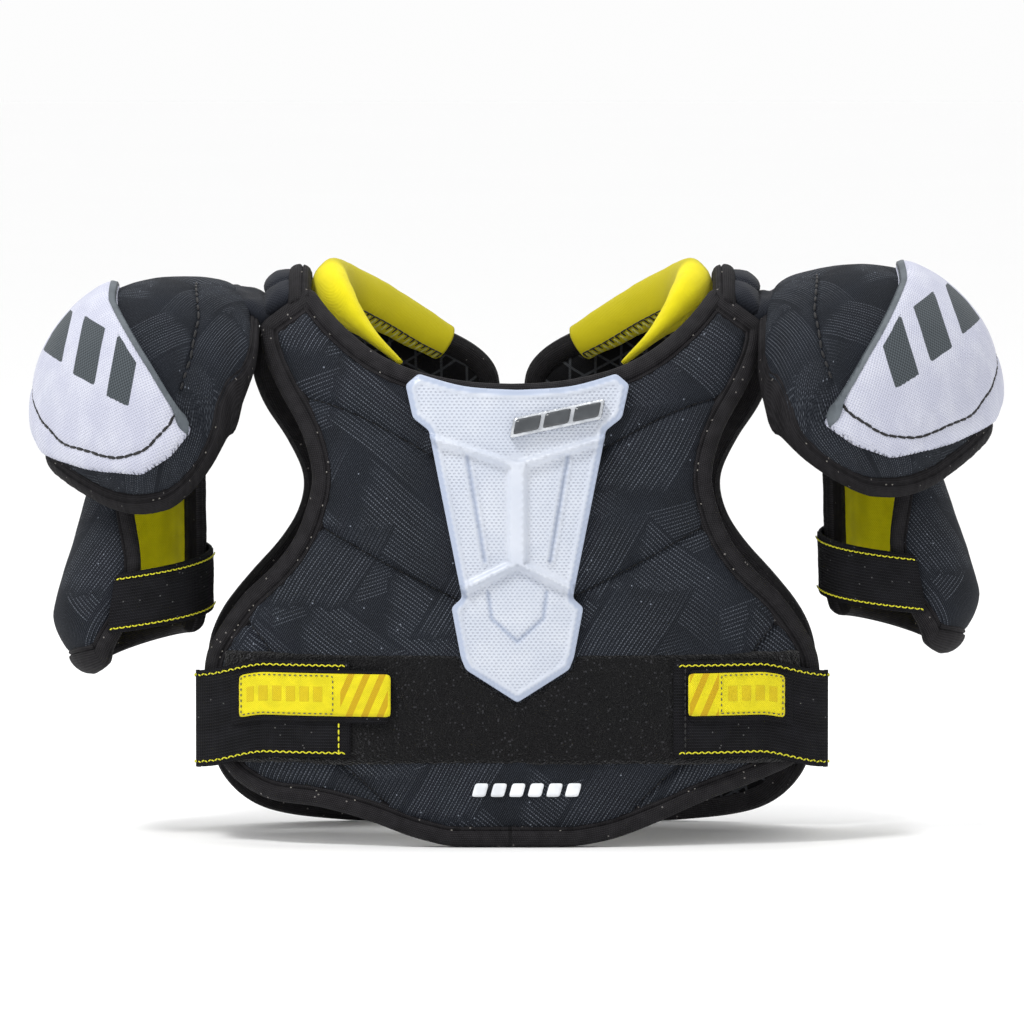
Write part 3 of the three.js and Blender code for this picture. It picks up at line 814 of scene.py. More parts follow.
def thread(name, colour, dark):
    m = Mat(name, 0.55, sheen=0.1, spec=0.35)
    x, y, z = m.place()
    twist = wave(x + y * 0.7 + z, 0.5)
    m.colour(m.mix(twist.ramp(-1.0, 1.0), dark, colour))
    m.bump(twist, 0.00008, 0.6)
    return m.mat


def tab_mat(name, ground, stripe, loose, sewn, sign):
    """Yellow woven label: slanted bars on its loose end and a row of raised blocks on the sewn end."""
    m = Mat(name, 0.7, sheen=0.05, spec=0.2)
    u, v = m.uv()
    weave = wave(u, 0.85) * wave(v, 0.85)
    bars = ((u * sign - v * 0.42) / 6.2).op("FRACT").above(0.56)
    zone = u.above(loose[0]) * u.above(loose[1]).flipped()
    share = ((u - sewn[0]) / 5.4).op("FRACT")
    block = share.ramp(0.2, 0.24) * share.ramp(0.86, 0.9, 1.0, 0.0)
    rows = v.ramp(59.2, 59.6) * v.ramp(65.4, 65.8, 1.0, 0.0)
    raised = block * (rows * u.above(sewn[0]) * u.above(sewn[1]).flipped())
    tone = m.noise(0.15, 3.0).ramp(0.3, 0.7)
    base = m.mix(tone, ground, shade(ground, 0.86))
    printed = m.mix((bars * zone).op("MAXIMUM", raised * 0.55), base, stripe)
    m.colour(m.mix(weave.ramp(-0.2, -1.0, 0.0, 0.25), printed, shade(stripe, 0.55)))
    m.bump(weave + raised * 2.5 + m.noise(0.5, 2.0), 0.00018, 0.8)
    return m.mat


def overlay_mat():
    m = Mat("white_woven", 0.75, sheen=0.05, spec=0.2)
    u, v = m.uv()
    x, y, z = m.place()
    level = x.op("ABSOLUTE") + y * 0.6
    over = wave(level + z * 0.4, 1.75) * wave(z - level * 0.4, 1.75)
    tone = m.noise(0.07, 3.0).ramp(0.35, 0.7)
    base = m.mix(tone, srgb(186, 188, 203), srgb(197, 199, 211))
    white = m.mix(over.ramp(-0.1, -1.0, 0.0, 0.7), base, srgb(150, 154, 178))
    ink = m.attribute("print").ramp(0.42, 0.58)
    m.colour(m.mix(ink, white, m.mix(over.ramp(-1.0, 1.0), srgb(46, 51, 55), srgb(82, 89, 94))))
    m.bump(over + m.noise(0.8, 2.0) * 0.4, 0.0002, 0.8)
    return m.mat


def lining_mat(name, ground, print_colour, amount):
    m = Mat(name, 0.85, spec=0.12)
    u, v = m.uv()
    lines = [wave(u * math.cos(a * DEG) + v * math.sin(a * DEG), 11.0, 0.4 * a).ramp(0.93, 0.98)
             for a in (0, 60, 120)]
    marks = lines[0].op("MAXIMUM", lines[1]).op("MAXIMUM", lines[2])
    weave = wave(u, 0.9) * wave(v, 0.9)
    tone = m.noise(0.1, 3.0).ramp(0.3, 0.7)
    m.colour(m.mix(marks * amount, m.mix(tone, ground, shade(ground, 1.4)), print_colour))
    m.bump(weave, 0.00015, 0.7)
    return m.mat


def moulded(name, light, dark, rough, metal=0.0, coat=0.0):
    m = Mat(name, rough, metal=metal, coat=coat)
    x, y, z = m.place()
    tone = m.noise(0.12, 4.0, (x, y, z)).ramp(0.3, 0.7)
    m.colour(m.mix(tone, light, dark))
    m.bump(m.noise(1.5, 2.0, (x, y, z)), 0.00006, 0.5)
    return m.mat


NAVY = panel_fabric("panel_fabric", srgb(13, 16, 22), srgb(142, 149, 161))
TAPE = binding_mat()
YELLOW = knit("yellow_knit", srgb(238, 224, 24), srgb(226, 212, 18), shaded=True)
DARK_KNIT = knit("dark_knit", srgb(30, 33, 41), srgb(20, 23, 30), 1.3)
OLIVE = knit("olive_knit", srgb(232, 226, 22), srgb(214, 208, 16), 1.5)
WHITE = plate_mat()
ELASTIC = elastic_mat()
PILE = pile_mat("loop_pile", srgb(7, 7, 8), srgb(20, 20, 22), srgb(70, 70, 74), 0.025)
BLACK_THREAD = thread("black_thread", srgb(30, 29, 31), srgb(12, 12, 13))
GREY_THREAD = thread("grey_thread", srgb(96, 94, 92), srgb(48, 46, 46))
SPECK_THREAD = thread("speck_thread", srgb(172, 168, 160), srgb(96, 92, 88))
PALE_THREAD = thread("pale_thread", srgb(214, 212, 120), srgb(150, 148, 60))
LIME_THREAD = thread("lime_thread", srgb(238, 232, 40), srgb(196, 190, 20))
TAB_COLOURS = srgb(232, 218, 26), srgb(200, 164, 18)
TAB = {
    "right": tab_mat("tab_weave_right", *TAB_COLOURS, (50, 69), (75, 106), -1),
    "left": tab_mat("tab_weave_left", *TAB_COLOURS, (71.5, 83), (85.5, 106), 1),
}
OVERLAY = overlay_mat()
LINING = lining_mat("body_lining", srgb(13, 13, 15), srgb(70, 72, 76), 0.7)
DARK_LINING = lining_mat("cap_lining", srgb(22, 23, 26), srgb(40, 42, 46), 0.3)
HOOK = pile_mat("hook_tape", srgb(13, 13, 14), srgb(26, 26, 28), srgb(60, 60, 63), 0.03)
BADGE = moulded("badge_dark", srgb(44, 48, 52), srgb(60, 64, 68), 0.25, coat=0.4)
SILVER = moulded("badge_silver", srgb(206, 209, 214), srgb(170, 174, 180), 0.25, metal=0.7)
INSERT = moulded("insert_plastic", srgb(206, 208, 214), srgb(222, 224, 230), 0.45)
TRIM = moulded("cap_trim", srgb(72, 79, 85), srgb(86, 93, 99), 0.6)
INK = moulded("white_print", srgb(232, 234, 238), srgb(214, 217, 222), 0.5)


# ---------- chest and back panels ----------
def both_sides(*lines):
    """Each line on the wearer's left, then on the right."""
    return [[Vector((x * m, y)) for x, y in line] for line in lines for m in (1, -1)]


CHEST = half_outline(CHEST_HEM, CHEST_CORNER, CHEST_SIDE, CHEST_NECK, CHEST_LOW_CORNER)
BACK = half_outline(BACK_HEM, BACK_CORNER, BACK_SIDE, BACK_NECK)
CHEST_SEAMS = [spline(line, 24) for line in both_sides(
    [(104, 183), (86, 184), (66, 178), (46, 168), (32, 160)],
    [(83, 133), (70, 126), (52, 116), (36, 108), (20, 100)],
    [(124, 98), (112, 92), (101, 80), (92, 60), (80, 42), (64, 28), (52, 17)])]
BACK_SEAMS = [spline([(x * m, z) for x, z in line], 24) for m in (1, -1) for line in (
    [(104, 183), (80, 176), (52, 160), (24, 152)], [(86, 132), (62, 122), (24, 112)],
    [(128, 80), (96, 66), (60, 52), (24, 46)], [(24, 46), (40, 26), (64, 3)])]


def crown(d, width):
    """The rise of a quarter round over a width, from 0 at its edge to 1."""
    t = clamp(d / width)
    return math.sqrt(1 - (1 - t) ** 2)


def quilt(puff, groove, seed):
    """A puffed surface that is pinched at its edge and seams, with small folds beside them."""
    def outer(u, v, de, ds, s):
        h = puff * crown(de, 13) * (1 - 0.55 * math.exp(-ds / 4.2)) - groove * math.exp(-((ds / 1.1) ** 2))
        h += 0.7 * noise.noise((u / 26, v / 26, seed)) * crown(de, 20)
        h += ripple(s, min(de, ds), 0.6, 5.5, 6.0, seed)
        h += 0.25 * noise.noise((u / 9, v / 9, seed + 3)) * crown(de, 12)
        return 1.6 - h
    return outer


def liner(depth, edge):
    def inner(u, v, de, ds, s):
        return depth - edge * (1 - crown(de, 14)) + 0.3 * noise.noise((u / 20, v / 20, 4.0))
    return inner


def soft_edge(depth, fall, width, uneven=0.0, patch=1.0, seed=0.0):
    """An even surface that falls off round its edge."""
    def outer(u, v, de, ds, s):
        return depth + fall * (1 - crown(de, width)) - uneven * noise.noise((u / patch, v / patch, seed))
    return outer


def body_panel(kind, outline, seams, place, body, seed):
    inside = inset(outline, 7.2)
    surface = quilt(3.8, 2.3, seed)
    pad(f"{kind}_pad", inside, place, surface, liner(8.2, 3.4), 2.3, seams, mat=NAVY, body=body,
        slot="panel_fabric", replaces=(f"{kind}_cover", f"{kind}_foam"), padded=0.6)
    pad(f"{kind}_inner_lining", inside, place, liner(8.5, 3.4), liner(10.0, 3.9), 3.2,
        mat=LINING, body=body, slot="lining", replaces=(f"{kind}_liner",))
    bound_edge(kind, "", outline, place, body)
    near = Lines([inside], True)
    runs = []
    for line in seams:
        clear = [p for p in resample(line, 2.0) if within(inside, p) and near.at(p.x, p.y)[0] > 2.2]
        if len(clear) > 2:
            depths = [surface(p.x, p.y, near.at(p.x, p.y)[0], 0.0, 0.0) - 0.35 for p in clear]
            runs.append([place(p.x, p.y, depth) for p, depth in zip(clear, depths)])
    stitches(f"{kind}_seam_thread", runs, BLACK_THREAD, 2.2, 3.0, 0.34, body=body, slot="panel_fabric")


body_panel("chest", CHEST, CHEST_SEAMS, on_front, "torso", 2.0)
body_panel("back", BACK, BACK_SEAMS, on_back, "back_panel", 9.0)

# ---------- sternum plate, badge and hem mark ----------
plate_top = list(reversed(spline(PLATE_TOP, 12)))[1:]
plate_line = rounded(mirrored([Vector(p) for p in reversed(PLATE)] + plate_top), 0.8, 2)
PLATE_SHIFT = 2.2
VEE = ((38, 168), (0, 156.4))
STEM = ((0, 156.4), (0, 119))
FOOT = ((0, 117), (21.5, 106.5))
SIDE_GROOVE = ((20.5, 160), (13.3, 117.5))
PENTAGON_LINE = ((12, 105), (10.5, 94), (0, 84.5))
PENTAGON = tuple(zip(PENTAGON_LINE, PENTAGON_LINE[1:]))
STEM_EDGE = ((3.7, 154), (3.7, 117))
PLATE_FACE, PLATE_RIDGE = 2.4, 2.8  # the plain face's height, and the ridges' height over it


def segment_distance(u, v, a, b):
    ax, ay, bx, by = *a, *b
    t = clamp(((u - ax) * (bx - ax) + (v - ay) * (by - ay)) / ((bx - ax) ** 2 + (by - ay) ** 2))
    return math.hypot(u - ax - t * (bx - ax), v - ay - t * (by - ay))


def nearest(a, v, lines):
    return min(segment_distance(a, v, *line) for line in lines)


def step_edge(d, at, soft):
    """1 before the distance at, 0 past it, over a short soft edge."""
    t = clamp((at + soft - d) / soft)
    return t * t * (3 - 2 * t)


def on_plate(u, v, depth):
    return on_front(u + PLATE_SHIFT, v, depth)


def plate_height(u, v, de):
    """How far the plate stands out: its face, its ridges, and the fields and grooves sunk beside them."""
    a = abs(u)
    vee, stem, foot, groove = (segment_distance(a, v, *line) for line in (VEE, STEM, FOOT, SIDE_GROOVE))
    h = PLATE_FACE * crown(de, 1.3)
    h += 3.4 * step_edge(vee, 0.4, 1.7)
    h = max(h, PLATE_FACE + PLATE_RIDGE * step_edge(stem, 3.3, 0.7) * (1 if v < 158 else 0))
    if a < 34 and v < 168:
        h -= 1.5 * step_edge(vee, 2.6, 4.5) * (1 - step_edge(vee, 1.4, 0.8)) * clamp((a - 2.5) / 4)
    h = max(h, PLATE_FACE + PLATE_RIDGE * step_edge(foot, 0.8, 1.2))
    below = (117 - 0.49 * a) - v
    if 0 < below < 7 and a < 22:
        h -= 1.2 * step_edge(below, 1.8, 5.0) * (1 - step_edge(foot, 1.0, 0.8))
    h -= 0.9 * step_edge(groove, 0.3, 0.7)
    h += 0.9 * step_edge(abs(groove - 1.3), 0.1, 0.5)
    h -= 0.9 * step_edge(nearest(a, v, PENTAGON), 0.4, 0.7)
    h += 0.9 * step_edge(abs(de - 2.7), 0.3, 0.6) * clamp(de - 1.0)
    return clamp(h, 1.0, 6.2)


def point_values(made, value):
    """A value at each vertex of a pad, worked out from its place in the outline's plane."""
    uvs = {loop.vertex_index: made.data.uv_layers[0].data[loop.index].uv[:] for loop in made.data.loops}
    return [value(*(c * 100 for c in uvs.get(i, (0, 0)))) for i in range(len(made.data.vertices))]


def add_attribute(made, name, values):
    made.data.attributes.new(name, "FLOAT", "POINT").data.foreach_set("value", values)


def plate_grooves(u, v):
    """1 along the plate's thin grooves."""
    return clamp((1.0 - nearest(abs(u), v, (SIDE_GROOVE, *PENTAGON))) / 0.6)


def plate_dots(u, v):
    """1 on the plate's plain fields, 0 on its ridges and grooves."""
    a = abs(u)
    ridges = min(segment_distance(a, v, *line) + more for line, more in
                 ((VEE, 1.2), (STEM, -1.4), (FOOT, 0.6), (SIDE_GROOVE, 1.6)))
    return clamp((ridges - 3.2) / 0.8)


def plate_piece(name, outline, place, height, body, node, spacing, dots, grooves, lines=()):
    made = pad(name, outline, place, lambda u, v, de, ds, s: -2.3 - height(u, v, de), -1.05,
               spacing, lines, mat=WHITE, body=body, slot="white_plate", replaces=(node,))
    near = Lines([outline], True)
    dotted = point_values(made, lambda u, v: dots(u, v) * clamp((near.at(u, v)[0] - 3.4) / 0.6))
    add_attribute(made, "dots", dotted)
    # painted shade on the plate: 1 on the rim's bevel and along the thin grooves
    border = point_values(made, lambda u, v: max(1 - clamp((near.at(u, v)[0] - 2.0) / 0.4), grooves(u, v)))
    add_attribute(made, "border", border)


plate_piece("sternum_shield", plate_line, on_plate, plate_height, "torso", "sternum_plate", 1.0, plate_dots,
            plate_grooves, both_sides(VEE, FOOT, SIDE_GROOVE, PENTAGON_LINE, STEM_EDGE))


def spine_height(u, v, de):
    h = 2.6 * crown(de, 2.6) + 0.4 * step_edge(abs(de - 2.2), 0.8, 1.4)
    for k in range(6):
        h += 1.2 * step_edge(segment_distance(abs(u), v, (0, 60 + 15 * k), (14, 66 + 15 * k)), 1.0, 1.6)
    return min(h, 4.3)


spine_line = rounded(mirrored([Vector(p) for p in ((13, 46), (21, 54), (21, 142), (13, 150))]), 1.0, 3)
plate_piece("spine_shield", spine_line, on_back, spine_height, "back_panel", "spine_plate", 1.5,
            lambda u, v: 1.0, lambda u, v: 0.0)


def slab(name, outline, place, near, far, mat, spacing, edge, **kw):
    """A flat piece with rounded edges between two depths."""
    pad(name, outline, place, soft_edge(near, edge, 1.2 * edge + 0.1), far, spacing, mat=mat, **kw)


def quad(x0, x1, z0, z1, lean=0.0, rise=0.0):
    return rounded([(x0, z0), (x1, z0 + rise), (x1 + lean, z1 + rise), (x0 + lean, z1)], 0.6, 2)


slab("shield_badge", quad(-1, 36, 167, 175, 1.6, 7.5), on_front, -8.2, -4.0, SILVER, 1.0, 0.5,
     body="torso", slot="badge", replaces=("plate_badge",))
BADGE_SLOPE = 0.203
for k in range(3):
    x = 0.4 + 12 * k
    rise = BADGE_SLOPE * (x + 1)
    slab(f"badge_bar_{k + 1}", quad(x, x + 10.4, 168.2 + rise, 174 + rise, 1.2, 2.1), on_front, -8.9, -8.0,
         BADGE, 0.9, 0.3, body="torso", slot="badge")
for k in range(6):
    x = 7.6 * k
    slab(f"hem_mark_{k + 1}", quad(-16.5 + x, -11 + x, 20.5, 26, 1.5), on_front, -3.1, -1.0, INK, 1.0, 0.2,
         body="torso", slot="white_plate")

# ---------- loop panel ----------
plate_near = Lines([plate_line], True)


def loop_outer(u, v, de, ds, s):
    """Uneven pile, flat where the plate lies over it."""
    own = Vector((u - PLATE_SHIFT, v))
    clear = 0.0 if within(plate_line, own) else clamp(plate_near.at(*own)[0] / 2.0)
    if not clear:
        return -0.3
    h = (1.3 * crown(de, 1.5) + 1.4 * crown(de, 13)) * clear
    return -1.1 - h - 0.75 * noise.noise((u / 0.9, v / 0.9, 3.0)) - 0.4 * noise.noise((u / 6, v / 6, 1.0))


pad("loop_band", box(-118, 118, 33, 79, 1.5, 2), on_front, loop_outer, 0.3, 1.25, mat=PILE, body="torso",
    slot="loop_fabric", replaces=("loop_panel",))


def side_pads(side, move, body):
    """pad for one side: names end in the side, and the shape moves to its place at rest."""
    def make(name, outline, place, outer, inner, spacing, mat, slot, node=None, lines=(), on=body, **kw):
        replaced = (f"{node}_{side}",) if node else ()
        return pad(f"{name}_{side}", outline, place, outer, inner, spacing, lines, move, mat, body=on,
                   slot=slot, replaces=replaced, **kw)
    return make


# ---------- shoulder yokes and collar ----------
COLLAR_STEPS, COLLAR_SIDES = 80, 32
COLLAR_PATH = spline([p for p, _, _ in COLLAR], COLLAR_STEPS)
COLLAR_SIZE = spline([(a, b) for _, a, b in COLLAR], COLLAR_STEPS)


def collar_ring(i, side_place, angles, grow=1.0):
    """Points round the collar's section at a step along it, at the given angles from straight inwards."""
    p, size = COLLAR_PATH[i], COLLAR_SIZE[i]
    tangent = (COLLAR_PATH[min(i + 1, COLLAR_STEPS)] - COLLAR_PATH[max(i - 1, 0)]).normalized()
    inwards = Vector((-p.x, -p.y, 0)).normalized()
    up = inwards.cross(tangent).normalized()
    ring = []
    for a in angles:
        c, s = math.cos(a), math.sin(a)
        x = c * (1 + 0.3 * (0.5 - 0.5 * c) ** 2 * math.exp(-(((i - 34) / 12) ** 2)))
        soft = 0.05 * noise.noise((i / 8, c * 1.2, s * 1.2))
        puffed = grow * (1 + soft + 0.02 * noise.noise((i / 2.5, c * 2.4, s * 2.4 + 7.0)))
        ring.append(side_place(p + inwards * size.x * x * puffed + up * size.y * 1.06 * s * puffed))
    return ring


for side, m in SIDES:
    place = arm_place(side, 0)
    make = side_pads(side, place, "torso")
    make("yoke_pad", box(90.5, 103.5, -27, 27, 1.2, 6), on_top, quilt(4.2, 1.2, 5.0 + m), soft_edge(9.5, -3, 6),
         1.5, DARK_KNIT, "panel_fabric", "shoulder_yoke", [[(90, y), (104, y)] for y in (-13, 14)], padded=0.6)
    path = resample([(84.6, -30 + 2 * k) for k in range(31)], 1.5)
    bound_edge("yoke", f"_{side}", path, on_top, "torso", (-4.2, 4.6, 2.8, 4.2), -0.35, False, place,
               bound=False)

    rings, uv = [], []
    for i in range(COLLAR_STEPS + 1):
        end = clamp((COLLAR_STEPS - i) / 2 + 0.72) * clamp(0.3 + i / 34)
        turns = [math.pi + k * math.pi / (COLLAR_SIDES // 2) for k in range(COLLAR_SIDES)]
        rings.append(collar_ring(i, place, turns, end))
        uv += [(i * 1.7, k * 1.5) for k in range(COLLAR_SIDES)]
    about = {"body": "torso", "slot": "yellow_fabric"}
    made = sweep(f"collar_roll_{side}", rings, YELLOW, uv=uv, replaces=(f"collar_pad_{side}",), padded=0.8,
                 **about)
    # painted shade: the collar's back limb, from step 31 along it, is darkened in colour through the shade
    # attribute
    painted_shade = [clamp((i - 31) / 4) for i in range(COLLAR_STEPS + 1) for _ in range(COLLAR_SIDES)]
    add_attribute(made, "shade", painted_shade)
    low = [collar_ring(i, place, [0.85, 1.45], 1.03) for i in range(44, COLLAR_STEPS + 1)]
    runs = [[a, b] for k, (a, b) in enumerate(low) if k % 2]
    stitches(f"collar_overlock_{side}", runs, PALE_THREAD, 4.0, 3.9, 0.5, **about)
    runs = [[a.lerp(b, -0.25), a.lerp(b, 0.75)] for k, (a, b) in enumerate(low) if not k % 2]
    runs += [[a.lerp(b, -0.2) for a, b in low]]
    stitches(f"collar_edge_thread_{side}", runs, BLACK_THREAD, 3.0, 3.2, 0.34, **about)


# ---------- belly straps ----------
def sag(u, v, depth):
    """The belly strap's surface, lower where it leaves the chest."""
    t = clamp((u - 98) / 30)
    return at_belt(u, v - 6 * t * t * (3 - 2 * t), depth)


def side_band(u, v, depth):
    """The side elastic's surface: u runs from front to back."""
    x = 131.3 - 0.6 * clamp((-14 - u) / 19) - 1.2 * clamp((-29 - u) / 4) ** 2
    return Vector((x - depth, u, v - 5 - 4.5 * clamp((u + 33) / 50)))


TAB_END = {"right": (49, 72), "left": (71, 84)}  # where the pull tab ends, and where its sewn part starts
for side, m in SIDES:
    place = arm_place(side, 0)
    body = f"belly_strap_{side}"
    make = side_pads(side, place, body)
    make("belly_web", box(65.5, 126.8, 36, 76.2, 1.0, 3), sag, soft_edge(-5.3, 0.5, 1.2, 0.35, 14, 2.0 + m),
         -3.8, 1.8, ELASTIC, "elastic", "belly_elastic")
    zigzags(f"belly_zigzag_{side}", sag, (38.2, 74.2), -5.75, (67.5, 126.4), 1.3, 0.42, place, 1.5, 1.6,
            body=body)
    make("belly_hook_end", box(59, 90, 37.5, 71, 1.0, 9), at_belt, soft_edge(-3.55, 0.4, 1.0), -2.2,
         1.8, HOOK, "hook_fabric", "belly_hook")
    end = [place(sag(70, z, -5.7)) for z in (37.5, 73)]
    colour = LIME_THREAD if side == "right" else BLACK_THREAD
    stitches(f"belly_end_thread_{side}", [end], colour, 1.8, 2.8, 0.36, body=body, slot="elastic")

    reach, inner = TAB_END[side]
    slab(f"pull_backing_{side}", box(reach + 0.8, 112.5, 50.6, 72.6, 1.0, 3), sag, -6.3, -5.5, ELASTIC, 1.6,
         0.3, move=place, body=body, slot="elastic")
    slab(f"pull_label_{side}", box(reach, 109, 53.5, 71, 1.0, 2), sag, -7.2, -6.4, TAB[side], 1.4, 0.4,
         move=place, body=body, slot="yellow_tab", replaces=(f"pull_tab_{side}",))
    sewn = resample([(inner, 54.4), (108.1, 54.4), (108.1, 70.1), (inner, 70.1), (inner, 54.4)], 1.0)
    run = [place(sag(p.x, p.y, -7.35)) for p in sewn]
    stitches(f"pull_label_thread_{side}", [run], GREY_THREAD, 1.4, 2.3, 0.26, body=body, slot="yellow_tab")

    web = make("side_web", box(-33, 27, 35, 75.2, 1.2, 3), side_band, -0.2, 1.1, 2.0, ELASTIC, "elastic",
               "side_elastic", on=None)
    rows = zigzags(f"side_zigzag_{side}", side_band, (37.2, 73.2), -0.55, (-32, 26), 1.3, 0.42, place, 1.5,
                   1.6)
    for made in (web, *rows):
        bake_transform(made)


# ---------- shoulder caps ----------
def mirrored_line(line):
    """A line of the cap's front, on its back."""
    return [Vector((p.x, -p.y)) for p in line]


def rim_line(short):
    out = []
    for k in range(180):
        a = k * 2 * DEG
        r = rim_down(a, short) * CAP_R
        out.append(Vector((r * math.cos(a), r * math.sin(a))))
    return resample(out, 1.5, True)


def charted(points):
    return [cap_chart(x, z) for x, z in points]


# each pull on the cap's surface: where it is, how far it reaches, how far it moves the surface
PULLS = {
    "right": [((110, -28, 192), 27, (-4, -12, 1)), ((106, -22, 206), 16, (0, -12, 0))],
    "left": [((118, -36, 175), 38, (-14, -11, 0)), ((106, -22, 206), 16, (0, -17, 0))],
}


def cap_place(side):
    """The cap's surface with its front inner corner pulled over the chest's corner."""
    def at(u, v, depth):
        p = on_cap(u, v, depth)
        moved = p.copy()
        for centre, reach, pull in PULLS[side]:
            moved += Vector(pull) * math.exp(-(((p - Vector(centre)).length / reach) ** 2))
        return moved
    return at


chart = charted(resample(OVERLAY_LINE, 2.0))
overlay_line = rounded(chart + mirrored_line(reversed(chart)), 1.2, 2)
overlay_near = Lines([overlay_line], True)
seam_front = charted(((131, 230), (129.8, 216), (133, 200), (137, 186)))
cap_seams = [seam_front, mirrored_line(seam_front)]
top_stitch = spline(charted(((198.5, 186), (193.5, 177), (188.5, 170.5), (180.5, 164), (165, 160),
                             (152.5, 162), (144, 170), (137, 180.5))), 60)
stitch_lines = [top_stitch, mirrored_line(top_stitch)]
# the overlay's slanted edge, front and back, and the strip sewn along it
edge_run = [Vector((chart[0].x, 0))] + charted(resample(OVERLAY_LINE[:3], 2.0))
trim = resample(mirrored_line(reversed(edge_run[1:])) + edge_run, 1.2)[3:-3]
trim_norms = normals_2d(trim, False)
into = 1 if within(overlay_line, trim[len(trim) // 2] + trim_norms[len(trim) // 2] * 1.5) else -1
trim_line = [p - q * 0.3 * into for p, q in zip(trim, trim_norms)]
trim_line += reversed([p + q * 2.1 * into for p, q in zip(trim, trim_norms)])
print_near = Lines([edge_run])


def overlay_outer(u, v, de, ds, s):
    dent = 1.0 * math.exp(-((ds / 1.3) ** 2)) + 0.3 * math.exp(-ds / 4)
    uneven, folds = 0.4 * noise.noise((u / 12, v / 12, 8.0)), ripple(s, ds, 0.35, 5.0, 5.0, 3.0)
    return -1.0 - 1.8 * crown(de, 1.4) - 2.2 * crown(de, 8) + dent - uneven + folds


def on_overlay(lift):
    return lambda u, v, de, ds, s: overlay_outer(u, v, overlay_near.at(u, v)[0], 99, 0) + lift


def printed(u, v):
    """Three slanted bars of a plain graphic, front and back."""
    ink = 0.0
    p = on_cap(u, v, 0)
    if abs(p.y) > 6:
        dx, dz = p.x - 172, p.z - 201
        q, r = dx * 0.9 + dz * 0.42, dz * 0.9 - dx * 0.42
        for k in range(3):
            bar = min(4.6 - abs(q + 15 - 14.5 * k - r * 0.25), 12 - 1.5 * k - abs(r),
                      print_near.at(u, abs(v))[0] - 5)
            ink = max(ink, clamp(0.5 + bar / 1.4))
    return ink


for side, m in SIDES:
    body = f"shoulder_cap_{side}"
    place = arm_place(side, 1)
    bulged = cap_place(side)
    make = side_pads(side, place, body)
    inside = rim_line(7.2)
    make("cap_pad", inside, bulged, quilt(2.0, 0.9, 3.0 + m), 1.6, 2.2, NAVY, "panel_fabric", "cap_cover",
         cap_seams, padded=0.6)
    make("cap_inner_lining", inside, bulged, liner(4.1, 0.2), liner(8.8, 3.4), 3.4, DARK_LINING,
         "cap_liner_foam", "cap_liner")
    bound_edge("cap", f"_{side}", rim_line(0), bulged, body, (4.2, 6.2, 3.2, 4.5), -0.25, move=place)
    runs = [[place(bulged(p.x, p.y, 0.2)) for p in resample(line, 1.5)] for line in cap_seams]
    stitches(f"cap_seam_thread_{side}", runs, BLACK_THREAD, 3.6, 4.6, 0.5, 0.8, body=body,
             slot="panel_fabric")
    made = make("cap_white_panel", overlay_line, bulged, overlay_outer, -0.4, 1.5, OVERLAY, "white_overlay",
                "cap_overlay", stitch_lines, padded=0.5)
    add_attribute(made, "print", point_values(made, printed))
    make("cap_trim", trim_line, bulged, on_overlay(-0.3), on_overlay(0.7), 0.9, TRIM, "white_overlay")
    runs = []
    for line in stitch_lines:
        sewn = [(p.x, p.y, overlay_near.at(p.x, p.y)[0]) for p in resample(line, 1.5)]
        runs.append([place(bulged(u, v, overlay_outer(u, v, de, 0, 0) - 0.15)) for u, v, de in sewn])
    stitches(f"cap_top_thread_{side}", runs, BLACK_THREAD, 4.0, 4.0, 0.7, 0.6, body=body,
             slot="white_overlay")


# ---------- upper-arm guards ----------
def guard_outline(spare):
    steps = [i / 24 for i in range(25)]
    line = [guard_edge(a, 0, spare) for a in steps] + [guard_edge(1, u, spare) for u in steps[1:]]
    line += [guard_edge(a, 1, spare) for a in reversed(steps[:-1])]
    line += [guard_edge(0, u, spare) for u in reversed(steps[1:-1])]
    return rounded(line, 1.5, 3)


UNITS = GUARD_R * DEG  # the guard's chart units for each degree round the arm


def roll(p):
    """The tape is fuller round the guard's lower front corner."""
    return 1 + 0.3 * math.exp(-(((p.x / UNITS - 42) / 30) ** 2)) * clamp((100 - p.y) / 20)


def band(u, v, depth):
    """The arm strap's surface, which rises a little towards the back."""
    a = u / GUARD_R / DEG
    middle = 97.5 + 9 * (a - 76) / 105
    return guard_at(a * DEG, middle + v, depth)


def hang(u, v, depth):
    t = (v - 171.3) / 35.7
    return Vector((158.4 + 1.0 * t + depth, u, v))


def link(u, v, depth):
    """The surface of the padded link between the yoke and the cap."""
    t = clamp((u - 100) / 22)
    return Vector((u, v, 221.5 + 3.4 * math.sin(t * math.pi * 0.55) - 0.008 * v * v - depth))


def gusset(u, v, de, ds, s):
    return 2.5 + 4.5 * clamp((109 - u) / 5) * crown(de, 6)


